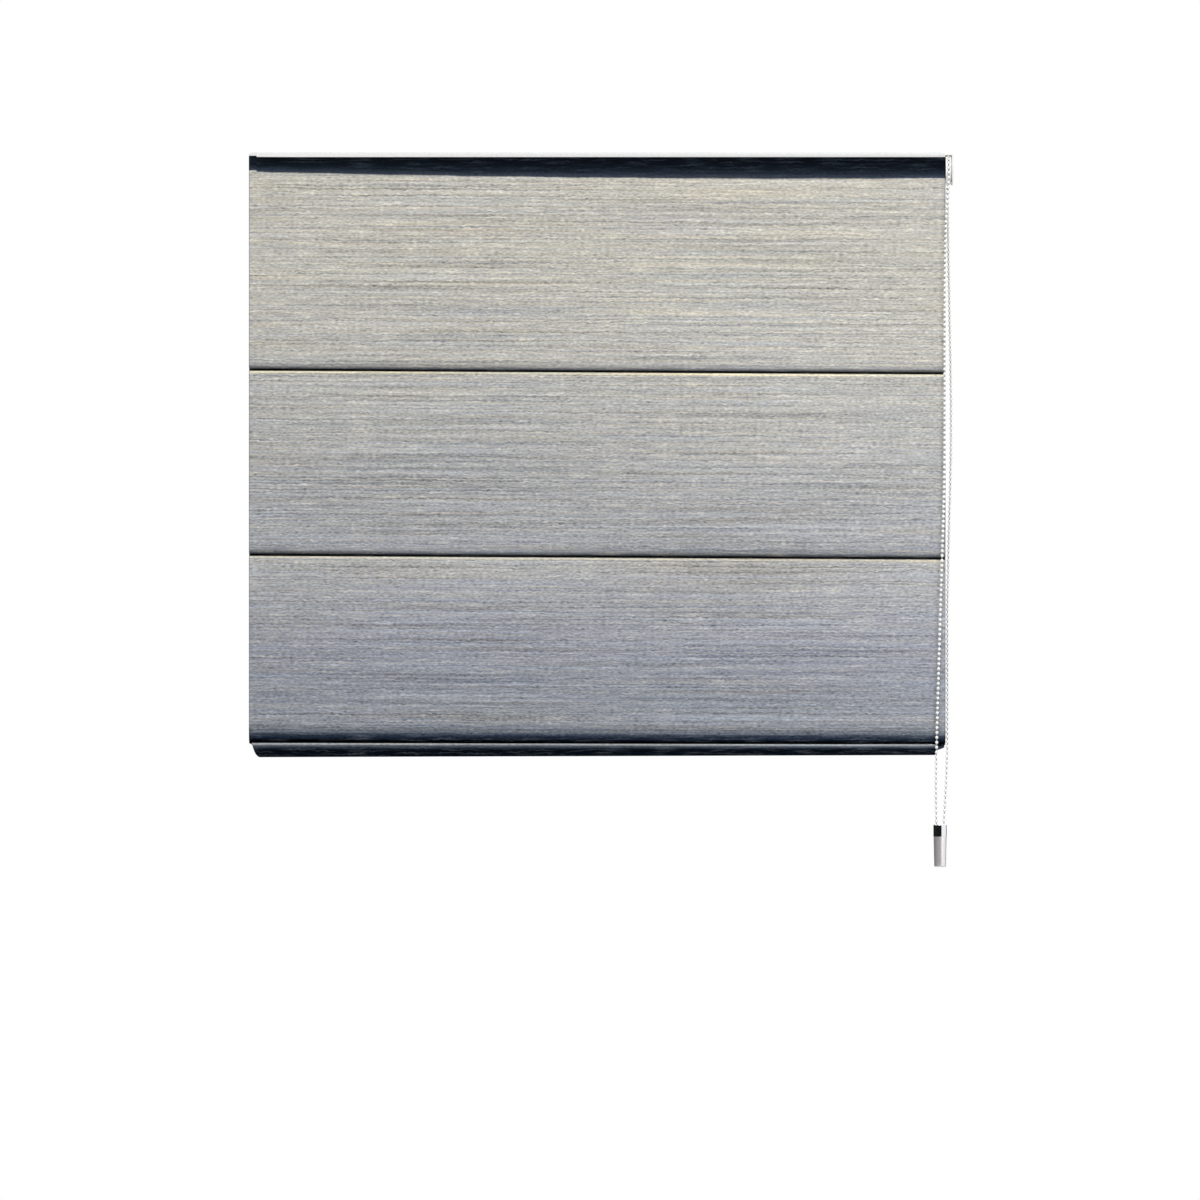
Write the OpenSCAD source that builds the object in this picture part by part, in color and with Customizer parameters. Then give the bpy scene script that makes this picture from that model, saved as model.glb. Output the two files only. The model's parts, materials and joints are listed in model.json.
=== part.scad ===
// Roman blind with a bead chain drive, hanging at its lowest.
// The wall is the plane y = 0, the front faces -Y, and the origin is the middle of the bracket screws.

/* [Fabric] */
// Width of the face fabric
fabric_w = 850; // [700:10:1000]
// Thickness of the cloth
cloth_t = 0.8; // [0.6:0.1:1]
// Height of the heading band
band_h = 22.9; // [21:0.1:25]
// Headrail edge left showing above the heading band
band_drop = 6.7; // [5:0.1:8]
// From the heading band down to the first crease
first_drop = 237.6; // [180:0.1:300]
// From one crease to the next
panel_h = 226; // [160:1:280]
// Height over which each panel curves under
lip_h = 8.6; // [6:0.1:12]
// Depth of each crease behind the panel
crease_d = 5.9; // [4.5:0.1:6.5]
// How far the foot of each panel stands forward
lip_lean = 0.5; // [0.2:0.1:0.6]
// Radius of the fold inside each crease
fold_r = 1.4; // [1.2:0.1:1.8]
// Height of the navy roll above the hem
roll_h = 15.2; // [13:0.1:18]
// Height of the hem below the roll
hem_h = 17.7; // [15:0.1:26]
// Hem inset at its top corners
hem_inset = 7; // [4:0.5:10]
// Further inset at the hem's bottom corners
hem_slant = 7; // [2:0.5:9]
// Thickness of each of the two heading tapes
tape_t = 1; // [0.8:0.1:1.2]
// Height of the heading tapes
tape_h = 20; // [14:0.5:20]

/* [Headrail] */
// Depth of the headrail, front to back
rail_d = 36; // [35:0.5:46]
// Height of the headrail
rail_h = 34; // [33:0.5:40]
// Wall of the headrail
rail_wall = 1.4; // [1:0.1:1.6]
// Width of the bottom lips
rail_lip = 6; // [4:0.5:7]
// Thickness of the left end cap
cap_t = 3.6; // [2.5:0.1:4.5]

/* [Brackets] */
// Between the two brackets
bracket_spacing = 600; // [500:10:640]
// Width of a bracket
bracket_w = 30; // [20:1:40]
// Thickness of the bracket steel
bracket_t = 1.5; // [1.2:0.1:1.8]
// Between the two screw holes of a bracket
hole_spacing = 14; // [10:1:18]
// Diameter of a screw hole
hole_d = 4.5; // [3.5:0.1:5.5]
// Room for the screw heads behind the headrail
head_room = 3.5; // [3:0.1:5]

/* [Drive] */
// Shaft axis behind the inside of the headrail's front
shaft_set = 8.6; // [8.6:0.1:10]
// Shaft axis below the headrail's centre
shaft_drop = 3.5; // [3:0.1:4]
// Side of the square shaft
shaft_w = 5; // [4:0.1:5]
// Bead diameter
bead_d = 4; // [3.8:0.1:4.5]
// Bead pitch along the chain
bead_pitch = 6; // [5.8:0.1:6]
// Pockets on the sprocket
pockets = 17; // [16:1:17]
// Width of the sprocket
sprocket_w = 6.8; // [6:0.1:8]
// Thickness of the drive housing's end plate
plate_t = 3.4; // [2.5:0.1:5]
// Thickness of the chain cover
cover_t = 1.6; // [1.2:0.1:2.5]
// Radius of the spool's drum
drum_r = 6.5; // [5.5:0.1:6.6]
// Width of the drum between its flanges
drum_w = 13.2; // [10:0.1:18]
// Height of the spool's flanges above the drum
flange_rise = 1.8; // [1.5:0.1:1.8]
// Radius of the spool's journals
journal_r = 4.5; // [4:0.1:5]
// Turns of the brake spring
spring_turns = 7; // [4:1:9]

/* [Lift] */
// Between neighbouring lift cords
cord_spacing = 330; // [280:5:345]
// Diameter of a lift cord
cord_d = 1.4; // [1:0.1:1.6]
// Diameter of a batten rod
rod_d = 5; // [4:0.1:5.5]
// Height of the batten tape
batten_h = 18; // [12:0.5:24]
// Outer diameter of a cord ring
ring_w = 9.7; // [9:0.1:10.5]
// Section diameter of a cord ring
ring_d = 1.8; // [1.4:0.1:2]
// Thickness of the bottom bar
bar_t = 3; // [2:0.1:3.4]

/* [Chain weight] */
// Outer diameter of the weight's cap
weight_d = 16.5; // [16:0.1:20]
// Height of the cap
weight_cap_h = 14.7; // [10:0.1:20]
// Height of the whole weight
weight_h = 51.8; // [45:0.1:70]
// Narrowing of the body towards its foot, on the radius
weight_taper = 0.8; // [0.2:0.1:1.2]

/* [Hidden] */
$fn = 48;

// Clearances
run_gap = 0.08;
fit_gap = 0.05;
seat_gap = 0.2;
body_gap = 0.3;
side_gap = 0.6;
over = 1;

// Colours
white_plastic = "#f0f0ee";
white_enamel = "#f2f3f3";
grey_cloth = "#b5b3ad";
navy_cloth = "#1a212c";
steel = "#c4c6c8";
cord_white = "#e6e5df";

// Levels in depth, from the wall forward
rail_back = -(bracket_t + head_room);
rail_front = rail_back - rail_d;
shaft_y = rail_front + rail_wall + shaft_set;
loop_y = rail_front - tape_t;
cloth_back = rail_front - 2 * tape_t;
cloth_y = cloth_back - cloth_t / 2;
lip_y = cloth_y - lip_lean;
fold_y = lip_y + crease_d;
cord_r = drum_r + cord_d / 2 + fit_gap;
cord_y = shaft_y + cord_r;

// Levels in height
rail_top = rail_h / 2;
shaft_z = -shaft_drop;
band_top = rail_top - band_drop;
band_foot = band_top - band_h;
tape_top = band_top - (band_h - tape_h) / 2;
upper_z = band_foot - first_drop;
lower_z = upper_z - panel_h;
foot_z = lower_z - panel_h;
seam_z = foot_z + roll_h;
hem_foot = foot_z - hem_h;

// Places along the blind
half_w = fabric_w / 2;
sprocket_in = half_w + body_gap;
chain_x = sprocket_in + sprocket_w / 2;
sprocket_out = sprocket_in + sprocket_w;
plate_out = sprocket_in - side_gap;
rail_right = plate_out - plate_t;
rail_left = -half_w + cap_t;
cover_in = sprocket_out + side_gap;
cord_xs = [-cord_spacing, 0, cord_spacing];
batten_half = half_w - 7;
tip_l = 4;

// Sprocket and the drive's turning parts
pitch_r = pockets * bead_pitch / 360 * 180 / PI;
bead_r = bead_d / 2;
pocket_r = bead_r + seat_gap;
sprocket_r = pitch_r + 0.65;
guard_r = pitch_r + bead_r + 0.5;
guard_t = 1;
tube_r = 5.4;
core_r = 3.5;
bell_wall = 1.3;
wire_r = 0.5;
spring_r = tube_r + seat_gap + wire_r;
bell_in = spring_r + wire_r + body_gap;
bell_r = bell_in + bell_wall;
flange_r = drum_r + flange_rise;
flange_t = 1.2;
cheek_t = 2.4;
web_t = 1.6;
spigot_l = 12;
tube_l = 16;
socket_l = 12;
core_end = shaft_w - 0.1;

// Flat ring sector
module sector(inner, outer, from, to) {
  reach = 2 * outer;
  intersection() {
    difference() {
      circle(outer);
      circle(inner);
    }
    polygon([[0, 0], reach * [cos(from), sin(from)], reach * [cos(to), sin(to)]]);
  }
}

// Points of an elliptical arc, its first point left out
function arc(centre, rx, ry, from, to, steps = 8) = [
  for (i = [1:steps])
    let (a = from + (to - from) * i / steps)
    [centre.x + rx * cos(a), centre.y + ry * sin(a)]
];

function unit(v) = v / norm(v);

// Offset direction at a point of an open path, lengthened at its corners
function miter(path, i) =
  let (
    last = len(path) - 1,
    a = unit(i > 0 ? path[i] - path[i - 1] : path[1] - path[0]),
    b = unit(i < last ? path[i + 1] - path[i] : path[last] - path[last - 1]),
    na = [-a.y, a.x],
    nb = [-b.y, b.x]
  )
  (na + nb) / (1 + na * nb);

// Section of a bent sheet of even thickness
module sheet_section(path, thickness) {
  last = len(path) - 1;
  polygon(concat(
    [for (i = [0:last]) path[i] + miter(path, i) * thickness / 2],
    [for (i = [last:-1:0]) path[i] - miter(path, i) * thickness / 2]
  ));
}

// Rectangle with round corners, its lower left corner at the origin
module round_rect(w, h, r) {
  corners = [[w - r, r, -90], [w - r, h - r, 0], [r, h - r, 90], [r, r, 180]];
  polygon([for (c = corners) each arc([c.x, c.y], r, r, c.z - 1, c.z + 90, 6)]);
}

// A flat (y, z) section drawn out along X
module along_x(from, to) {
  translate([from, 0, 0]) rotate([90, 0, 90]) linear_extrude(to - from) children();
}

// A flat (radius, x) section turned about an axis along X
module about_x(y, z) {
  translate([0, y, z]) rotate([0, 90, 0]) rotate_extrude() children();
}

module shaft_bar(side, from, to) {
  translate([from, shaft_y - side / 2, shaft_z - side / 2]) cube([to - from, side, side]);
}

module round_bar(r, from, to, y, z) {
  translate([from, y, z]) rotate([0, 90, 0]) cylinder(r = r, h = to - from);
}

// Brackets: a sprung clip hooked over the headrail's rear edge and under its rear lip
shelf_drop = bracket_t;
groove_w = bracket_t + 0.5;
shelf_d = 6.5;
hook_y = rail_back - shelf_d - groove_w / 2;
hook_depth = 1.4;
tongue_y = rail_back - rail_lip - seat_gap - bracket_t / 2;

module bracket(x) {
  arm_z = rail_top - bracket_t / 2;
  foot_arm = -rail_h / 2 - bracket_t / 2;
  clip = [
    [hook_y, rail_top - shelf_drop - hook_depth],
    [hook_y, arm_z],
    [-bracket_t / 2, arm_z],
    [-bracket_t / 2, foot_arm],
    [tongue_y, foot_arm],
    [tongue_y, -rail_h / 2 + rail_wall]
  ];
  color(steel) difference() {
    along_x(x - bracket_w / 2, x + bracket_w / 2) sheet_section(clip, bracket_t);
    for (z = [-1, 1] * hole_spacing / 2)
      translate([x, over, z]) rotate([90, 0, 0]) cylinder(d = hole_d, h = bracket_t + 2 * over);
  }
}

// Headrail: one extruded channel, open below between its lips, with a hook groove at the rear top
module headrail() {
  w = rail_wall / 2;
  shelf_z = rail_top - shelf_drop - w;
  groove_z = shelf_z - hook_depth - body_gap;
  groove = groove_w / 2 + w;
  channel = [
    [rail_front + rail_lip, -rail_h / 2 + w],
    [rail_front + w, -rail_h / 2 + w],
    [rail_front + w, rail_top - w],
    [hook_y - groove, rail_top - w],
    [hook_y - groove, groove_z],
    [hook_y + groove, groove_z],
    [hook_y + groove, shelf_z],
    [rail_back - w, shelf_z],
    [rail_back - w, -rail_h / 2 + w],
    [rail_back - rail_lip, -rail_h / 2 + w]
  ];
  color(white_enamel) along_x(rail_left, rail_right) sheet_section(channel, rail_wall);
}

// Outline of the headrail's ends
module end_outline() {
  translate([rail_front, -rail_h / 2]) round_rect(rail_d, rail_h, 2);
}

// Room inside the headrail for a plug, under its hook groove
plug_front = rail_front + rail_wall + seat_gap;
plug_back = rail_back - rail_wall - seat_gap;
plug_foot = -rail_h / 2 + rail_wall + seat_gap;
groove_foot = rail_top - shelf_drop - rail_wall - hook_depth - body_gap - rail_wall / 2;
plug_top = groove_foot - seat_gap + rail_wall / 2;
plug_wall = 3;

module left_end_cap() {
  boss_r = journal_r + 2;
  boss_l = 10;
  color(white_plastic) difference() {
    union() {
      along_x(-half_w, rail_left) end_outline();
      round_bar(boss_r, rail_left, rail_left + boss_l, shaft_y, shaft_z);
      translate([rail_left, plug_back - plug_wall, plug_foot])
        cube([spigot_l, plug_wall, plug_top - plug_foot]);
      translate([rail_left, plug_front, plug_top - plug_wall])
        cube([spigot_l, plug_back - plug_front, plug_wall]);
    }
    round_bar(journal_r + run_gap, rail_left, rail_left + spigot_l + over, shaft_y, shaft_z);
  }
}

// Drive housing: end plate, plug, bearing tube, top guard, lower divider and two screw posts
cover_r = guard_r + guard_t;
post_r = 2.6;
post_y = rail_back - post_r - 0.9;
post_z = rail_h / 2 - post_r - 1.9;
screw_r = 1.25;

module guard_outline() {
  translate([shaft_y, shaft_z]) circle(cover_r);
}

module drive_housing() {
  divider_r = sprocket_r + 0.6;
  color(white_plastic) difference() {
    union() {
      along_x(rail_right, plate_out) {
        end_outline();
        intersection() {
          guard_outline();
          translate([rail_front, shaft_z - cover_r]) square([rail_d, 2 * cover_r]);
        }
      }
      translate([rail_right - spigot_l, plug_back - plug_wall, plug_foot])
        cube([spigot_l, plug_wall, plug_top - plug_foot]);
      translate([rail_right - spigot_l, plug_front, plug_top - plug_wall])
        cube([spigot_l, plug_back - plug_front, plug_wall]);
      round_bar(tube_r, rail_right - tube_l, sprocket_out - web_t - body_gap, shaft_y, shaft_z);
      along_x(plate_out, cover_in) translate([shaft_y, shaft_z]) {
        sector(guard_r, cover_r, 50, 118);
        sector(divider_r, divider_r + guard_t, 245, 295);
      }
      for (z = [-post_z, post_z]) round_bar(post_r, plate_out, cover_in, post_y, z);
    }
    round_bar(core_r + run_gap, rail_right - tube_l - over, cover_in, shaft_y, shaft_z);
    for (z = [-post_z, post_z]) round_bar(screw_r + fit_gap, plate_out, cover_in + over, post_y, z);
  }
}

// Chain cover: outer plate with a stud that steadies the end of the drive core
stud_r = 1.7;
stud_l = 3;

module chain_cover() {
  color(white_plastic) difference() {
    union() {
      along_x(cover_in, cover_in + cover_t) {
        guard_outline();
        translate([shaft_y, -rail_h / 2]) round_rect(rail_back - shaft_y, rail_h, 2);
      }
      round_bar(stud_r, cover_in - stud_l, cover_in, shaft_y, shaft_z);
    }
    for (z = [-post_z, post_z])
      round_bar(screw_r + fit_gap, cover_in - over, cover_in + cover_t + over, post_y, z);
  }
}

module cover_screws() {
  head_r = 2.3;
  head_h = 1.3;
  grip = 5;
  color(steel) for (z = [-post_z, post_z]) {
    round_bar(screw_r, cover_in - grip, cover_in + cover_t, post_y, z);
    round_bar(head_r, cover_in + cover_t, cover_in + cover_t + head_h, post_y, z);
  }
}

// Heading: hook tape on the headrail, loop tape on the cloth, navy band in front
module heading_strip(front, thickness, top, height) {
  translate([-half_w, front, top - height]) cube([fabric_w, thickness, height]);
}

module hook_tape() {
  color("#dcdcd8") heading_strip(loop_y, tape_t, tape_top, tape_h);
}

module loop_tape() {
  color("#e4e4e0") heading_strip(cloth_back, tape_t, tape_top, tape_h);
}

module heading_band() {
  color(navy_cloth) heading_strip(cloth_back - 2 * cloth_t, cloth_t, band_top, band_h);
}

// Face fabric: panels that curve under into a crease, with a shoulder below each crease
shoulder_d = 2.6;
shoulder_h = 3;

function crease(z) = concat(
  [[lip_y, z + fold_r + lip_h]],
  arc([fold_y, z + fold_r + lip_h], crease_d, lip_h, 180, 270),
  arc([fold_y, z], fold_r, fold_r, 90, -90),
  [[cloth_y + shoulder_d, z - fold_r]],
  arc([cloth_y + shoulder_d, z - fold_r - shoulder_h], shoulder_d, shoulder_h, 90, 180)
);

module face_fabric() {
  path = concat(
    [[cloth_y, tape_top], [cloth_y, band_foot]],
    crease(upper_z),
    crease(lower_z),
    [[lip_y, seam_z + body_gap / 2]]
  );
  color(grey_cloth) along_x(-half_w, half_w) sheet_section(path, cloth_t);
}

// Hem: the cloth rolls under, folds back and wraps the bottom bar
hem_fold_r = 1.2;
hem_crease_d = crease_d + 0.4;
hem_setback = 1.9;
bar_gap = 0.4;
hem_front = lip_y + hem_setback;
hem_round = bar_t / 2 + bar_gap + cloth_t / 2;
hem_y = hem_front + hem_round;
hem_back = hem_y + hem_round;
hem_shoulder_d = 1.5;
hem_shoulder_h = 1.8;
bar_top = foot_z - hem_fold_r - hem_shoulder_h - bar_gap;
bar_foot = hem_foot + cloth_t + 1.2;
hem_end = half_w - hem_inset - hem_slant;
plug_l = 4;
bar_half = hem_end - plug_l - 1;

module hem() {
  roll_foot = foot_z + hem_fold_r;
  roll_rise = roll_h - hem_fold_r - 1;
  fold_at = lip_y + hem_crease_d;
  path = concat(
    [[lip_y, seam_z - body_gap / 2], [lip_y, roll_foot + roll_rise]],
    arc([fold_at, roll_foot + roll_rise], hem_crease_d, roll_rise, 180, 270, 10),
    arc([fold_at, foot_z], hem_fold_r, hem_fold_r, 90, -90),
    [[hem_front + hem_shoulder_d, foot_z - hem_fold_r]],
    arc([hem_front + hem_shoulder_d, foot_z - hem_fold_r - hem_shoulder_h],
      hem_shoulder_d, hem_shoulder_h, 90, 180, 6),
    [[hem_front, hem_foot + cloth_t / 2 + hem_round]],
    arc([hem_y, hem_foot + cloth_t / 2 + hem_round], hem_round, hem_round, 180, 360, 10),
    [[hem_back, foot_z - hem_fold_r - cloth_t / 2 - body_gap]]
  );
  corner = [
    [half_w - hem_inset, foot_z],
    [half_w + over, foot_z],
    [half_w + over, hem_foot - over],
    [hem_end, hem_foot - over]
  ];
  color(navy_cloth) difference() {
    along_x(-half_w, half_w) sheet_section(path, cloth_t);
    for (side = [0, 1])
      mirror([side, 0, 0])
        translate([0, hem_back + cloth_t, 0]) rotate([90, 0, 0])
          linear_extrude(hem_back - lip_y + 3 * cloth_t) polygon(corner);
  }
}

module bottom_bar() {
  color("#d0d2d4") translate([-bar_half, hem_y - bar_t / 2, bar_foot])
    cube([2 * bar_half, bar_t, bar_top - bar_foot]);
}

// Bar plug: a plastic end with a rounded nose, pressed against the end of the bottom bar
module bar_plug(side) {
  nose = 1.5;
  height = bar_top - bar_foot;
  color(white_plastic) translate([side * bar_half, hem_y + bar_t / 2, bar_foot])
    mirror([side < 0 ? 1 : 0, 0, 0]) rotate([90, 0, 0]) linear_extrude(bar_t) {
      square([plug_l - nose, height]);
      translate([0, nose]) square([plug_l, height - 2 * nose]);
      for (z = [nose, height - nose]) translate([plug_l - nose, z]) circle(nose);
    }
}

// Cord anchor: a foot on the back of the hem and a barrel that takes the end of a lift cord
anchor_h = 8;
anchor_top = bar_top - 1;
bore_depth = 5;

module cord_anchor(x) {
  foot_w = 14;
  foot_t = 1.6;
  arm_w = 3;
  barrel_r = cord_d / 2 + 2.4;
  back = hem_back + cloth_t / 2;
  color(white_plastic) difference() {
    union() {
      translate([x - foot_w / 2, back, anchor_top - anchor_h]) cube([foot_w, foot_t, anchor_h]);
      translate([x - arm_w / 2, back, anchor_top - anchor_h])
        cube([arm_w, cord_y - back, anchor_h * 0.75]);
      translate([x, cord_y, anchor_top - anchor_h]) cylinder(r = barrel_r, h = anchor_h);
    }
    translate([x, cord_y, anchor_top - bore_depth])
      cylinder(r = cord_d / 2 + seat_gap, h = bore_depth + over);
  }
}

module lift_cord(x) {
  foot = anchor_top - bore_depth + seat_gap;
  color(cord_white) translate([x, cord_y, foot]) cylinder(d = cord_d, h = shaft_z - foot);
}

// Batten row: a tape with a tubular rod pocket behind a crease, its rod, rod tips and cord rings
batten_front = fold_y + fold_r + cloth_t / 2 + body_gap;
pocket_wall = 0.8;
pocket_in = rod_d / 2 + 0.25;
pocket_out = pocket_in + pocket_wall;
sewn_gap = 0.1;
rod_y = batten_front + pocket_out + sewn_gap;
ring_y = rod_y + pocket_out + sewn_gap + ring_w / 2;

module rod_pocket(z) {
  color("#d8d6ce") along_x(-batten_half, batten_half) difference() {
    union() {
      translate([batten_front, z - batten_h / 2]) square([pocket_wall - 0.2, batten_h]);
      translate([rod_y, z]) circle(pocket_out);
    }
    translate([rod_y, z]) circle(pocket_in);
  }
}

module rod(z) {
  color("#e8e8e4") round_bar(rod_d / 2, -batten_half, batten_half, rod_y, z);
}

module rod_tip(side, z) {
  nose = 1;
  profile = [[0, 0], [pocket_out, 0], [pocket_out, tip_l - nose], [pocket_out - nose, tip_l], [0, tip_l]];
  color(white_plastic) mirror([side < 0 ? 1 : 0, 0, 0])
    translate([batten_half, 0, 0]) about_x(rod_y, z) polygon(profile);
}

module cord_ring(x, z) {
  color(white_plastic) translate([x, ring_y, z]) rotate_extrude()
    translate([ring_w / 2 - ring_d / 2, 0]) circle(d = ring_d);
}

// Spools, cradles and the shaft line
cheek_in = drum_w / 2 + flange_t + body_gap;
cheek_out = cheek_in + cheek_t;
spool_half = cheek_out + 0.8;

module spool(x) {
  color(white_plastic) difference() {
    translate([x, 0, 0]) about_x(shaft_y, shaft_z) {
      translate([0, -spool_half]) square([journal_r, 2 * spool_half]);
      translate([0, -drum_w / 2]) square([drum_r, drum_w]);
      for (s = [-drum_w / 2 - flange_t, drum_w / 2]) translate([0, s]) square([flange_r, flange_t]);
    }
    shaft_bar(shaft_w + 2 * fit_gap, x - spool_half - over, x + spool_half + over);
  }
}

module spool_cradle(x) {
  cheek_r = journal_r + 2.6;
  base_t = 1.8;
  base_foot = -rail_h / 2 + rail_wall;
  slot_w = 7;
  slot_l = drum_w - 2;
  lip_front = rail_front + rail_lip + seat_gap;
  lip_back = rail_back - rail_lip - seat_gap - bracket_t - seat_gap;
  color(white_plastic) difference() {
    union() {
      translate([x - cheek_out, plug_front, base_foot])
        cube([2 * cheek_out, plug_back - plug_front, base_t]);
      translate([x - cheek_out, lip_front, -rail_h / 2])
        cube([2 * cheek_out, lip_back - lip_front, rail_wall]);
      for (s = [-cheek_out, cheek_in])
        along_x(x + s, x + s + cheek_t) {
          translate([shaft_y, shaft_z]) circle(cheek_r);
          translate([shaft_y - cheek_r, base_foot]) square([2 * cheek_r, shaft_z - base_foot]);
          polygon([
            [shaft_y, base_foot],
            [plug_back, base_foot],
            [plug_back, base_foot + 2 * base_t],
            [shaft_y + cheek_r / 2, shaft_z]
          ]);
        }
    }
    round_bar(journal_r + run_gap, x - cheek_out - over, x + cheek_out + over, shaft_y, shaft_z);
    translate([x - slot_l / 2, cord_y - slot_w / 2, -rail_h / 2 - over])
      cube([slot_l, slot_w, base_t + rail_wall + 2 * over]);
  }
}

socket_end = rail_right - tube_l - 4;
plug_end = rail_left + 1;
end_plug_l = 15;

module drive_shaft() {
  color("#b9bcbf") shaft_bar(shaft_w, plug_end + 4, socket_end - 1);
}

module shaft_end_plug() {
  color(white_plastic) difference() {
    round_bar(journal_r, plug_end, plug_end + end_plug_l, shaft_y, shaft_z);
    shaft_bar(shaft_w + 2 * fit_gap, plug_end + 4, plug_end + end_plug_l + over);
  }
}

// Drive core: shaft socket, bell round the brake spring, spindle and square end in the sprocket
module drive_core() {
  bell_floor = 2;
  spindle_end = sprocket_out - web_t - body_gap / 2;
  color("#3c4046") difference() {
    union() {
      about_x(shaft_y, shaft_z) {
        translate([0, socket_end - socket_l]) square([core_r + 1.6, socket_l]);
        translate([0, socket_end]) square([bell_r, bell_floor]);
        translate([bell_in, socket_end]) square([bell_wall, rail_right - 1 - socket_end]);
        translate([0, socket_end]) square([core_r, spindle_end - socket_end]);
      }
      shaft_bar(core_end, spindle_end - over, sprocket_out);
    }
    shaft_bar(shaft_w + 2 * fit_gap, socket_end - socket_l - over, socket_end - 1);
    round_bar(stud_r + run_gap, cover_in - stud_l - body_gap, sprocket_out + over, shaft_y, shaft_z);
  }
}

module sprocket() {
  color("#e9e9e6") difference() {
    about_x(shaft_y, shaft_z) difference() {
      translate([0, sprocket_in]) square([sprocket_r, sprocket_w]);
      translate([0, sprocket_in - over]) square([tube_r + run_gap, sprocket_w - web_t + over]);
      translate([pitch_r - 1, chain_x - 1]) square([sprocket_r, 2]);
      translate([tube_r + 2.4, sprocket_out - 1.2]) square([pitch_r - pocket_r - tube_r - 4, 2]);
    }
    shaft_bar(shaft_w, sprocket_out - web_t - over, sprocket_out + over);
    for (i = [0:pockets - 1])
      translate([chain_x, shaft_y, shaft_z]) rotate([i * 360 / pockets, 0, 0])
        translate([0, 0, pitch_r]) sphere(pocket_r);
  }
}

// Rings of points round a path; the path is closed where its last point meets its first
function frame_side(t) = unit(cross(t, abs(t.y) < 0.9 ? [0, 1, 0] : [1, 0, 0]));

function tube_ring(p, t, r, sides) =
  let (u = frame_side(t), v = cross(t, u))
  [for (k = [0:sides - 1]) p + r * (cos(360 * k / sides) * u + sin(360 * k / sides) * v)];

module tube(path, tangents, r, sides, closed) {
  n = len(path);
  bands = closed ? n : n - 1;
  points = [for (i = [0:n - 1]) each tube_ring(path[i], tangents[i], r, sides)];
  skin = [
    for (i = [0:bands - 1], k = [0:sides - 1])
      let (a = i * sides, b = ((i + 1) % n) * sides, m = (k + 1) % sides)
      each [[a + k, b + k, b + m], [a + k, b + m, a + m]]
  ];
  ends = closed ? [] : [[for (k = [0:sides - 1]) k], [for (k = [sides - 1:-1:0]) (n - 1) * sides + k]];
  polyhedron(points, concat(skin, ends), convexity = 10);
}

// Brake spring: a close helix round the fixed tube, inside the bell
module brake_spring() {
  pitch = 2 * wire_r + 0.3;
  steps = 14;
  start = socket_end + 4 + wire_r + body_gap;
  path = [
    for (i = [0:spring_turns * steps])
      let (a = 360 * i / steps)
      [start + pitch * i / steps, shaft_y + spring_r * cos(a), shaft_z + spring_r * sin(a)]
  ];
  tangents = [
    for (i = [0:spring_turns * steps])
      let (a = 360 * i / steps)
      unit([pitch / (2 * PI), -spring_r * sin(a), spring_r * cos(a)])
  ];
  color(steel) tube(path, tangents, wire_r, 6, false);
}

// Chain: the hand-chosen route of the free strands, from the sprocket's axis and its mid-plane
front_strand = [
  [0, -16.3, -14], [-3, -16.5, -60], [-4.3, -16.6, -120], [-4.8, -16.6, -190], [-4.8, -16.6, -260],
  [-4.9, -16.6, -330], [-5.9, -16.6, -400], [-7.7, -16.6, -460], [-9.9, -16.6, -530],
  [-12, -16.6, -600], [-13.8, -16.6, -660], [-14.9, -16.6, -710], [-15.5, -16.6, -756],
  [-15.1, -16.6, -796]
];
back_strand = [
  [-5.9, -16.6, -796], [-4.3, -15.5, -772], [-2.7, -13.4, -742], [-1.4, -10, -706],
  [-0.9, -6.1, -660], [-0.8, -1, -590], [-0.4, 2.4, -528], [1, 5.7, -458], [3.2, 8.7, -386],
  [4.1, 10.7, -330], [4.1, 12.2, -272], [3.2, 13.5, -216], [1.9, 14.8, -146], [0.7, 15.7, -80]
];
turn_depth = 22;
left_end = front_strand[len(front_strand) - 1];
right_end = back_strand[0];
turn_r = (right_end.x - left_end.x) / 2;
turn = [(left_end.x + right_end.x) / 2, left_end.y, left_end.z - turn_depth];
turn_path = [
  for (a = [180:22.5:360])
    turn + turn_r * [cos(a), 0, sin(a)]
];
wrap_steps = 16;
wrap_path = [
  for (i = [0:wrap_steps])
    let (a = 180 * i / wrap_steps)
    pitch_r * [0, cos(a), sin(a)]
];
axis_at = [chain_x, shaft_y, shaft_z];
loop_path = [for (p = concat(wrap_path, front_strand, turn_path, back_strand)) axis_at + p];
loop_n = len(loop_path);
loop_lengths = [for (i = [0:loop_n - 1]) norm(loop_path[(i + 1) % loop_n] - loop_path[i])];
loop_starts = [for (i = 0, s = 0; i < loop_n; s = s + loop_lengths[i], i = i + 1) s];
loop_length = loop_starts[loop_n - 1] + loop_lengths[loop_n - 1];
bead_count = round(loop_length / bead_pitch);
bead_step = loop_length / bead_count;
wrap_length = loop_starts[wrap_steps];

// The first bead sits in the pocket at the top of the sprocket
function wrapped(s) = s % loop_length;

function loop_point(s) = [
  for (i = [0:loop_n - 1])
    if (s >= loop_starts[i] && s < loop_starts[i] + loop_lengths[i])
      let (next = loop_path[(i + 1) % loop_n])
      loop_path[i] + (next - loop_path[i]) * (s - loop_starts[i]) / loop_lengths[i]
][0];

thread_d = 1.4;

module chain_cord() {
  tangents = [
    for (i = [0:loop_n - 1])
      unit(loop_path[(i + 1) % loop_n] - loop_path[(i + loop_n - 1) % loop_n])
  ];
  color(cord_white) tube(loop_path, tangents, thread_d / 2, 8, true);
}

module chain_beads() {
  color("#f4f4f1") for (i = [0:bead_count - 1])
    translate(loop_point(wrapped(wrap_length / 2 + i * bead_step))) sphere(bead_r);
}

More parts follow.
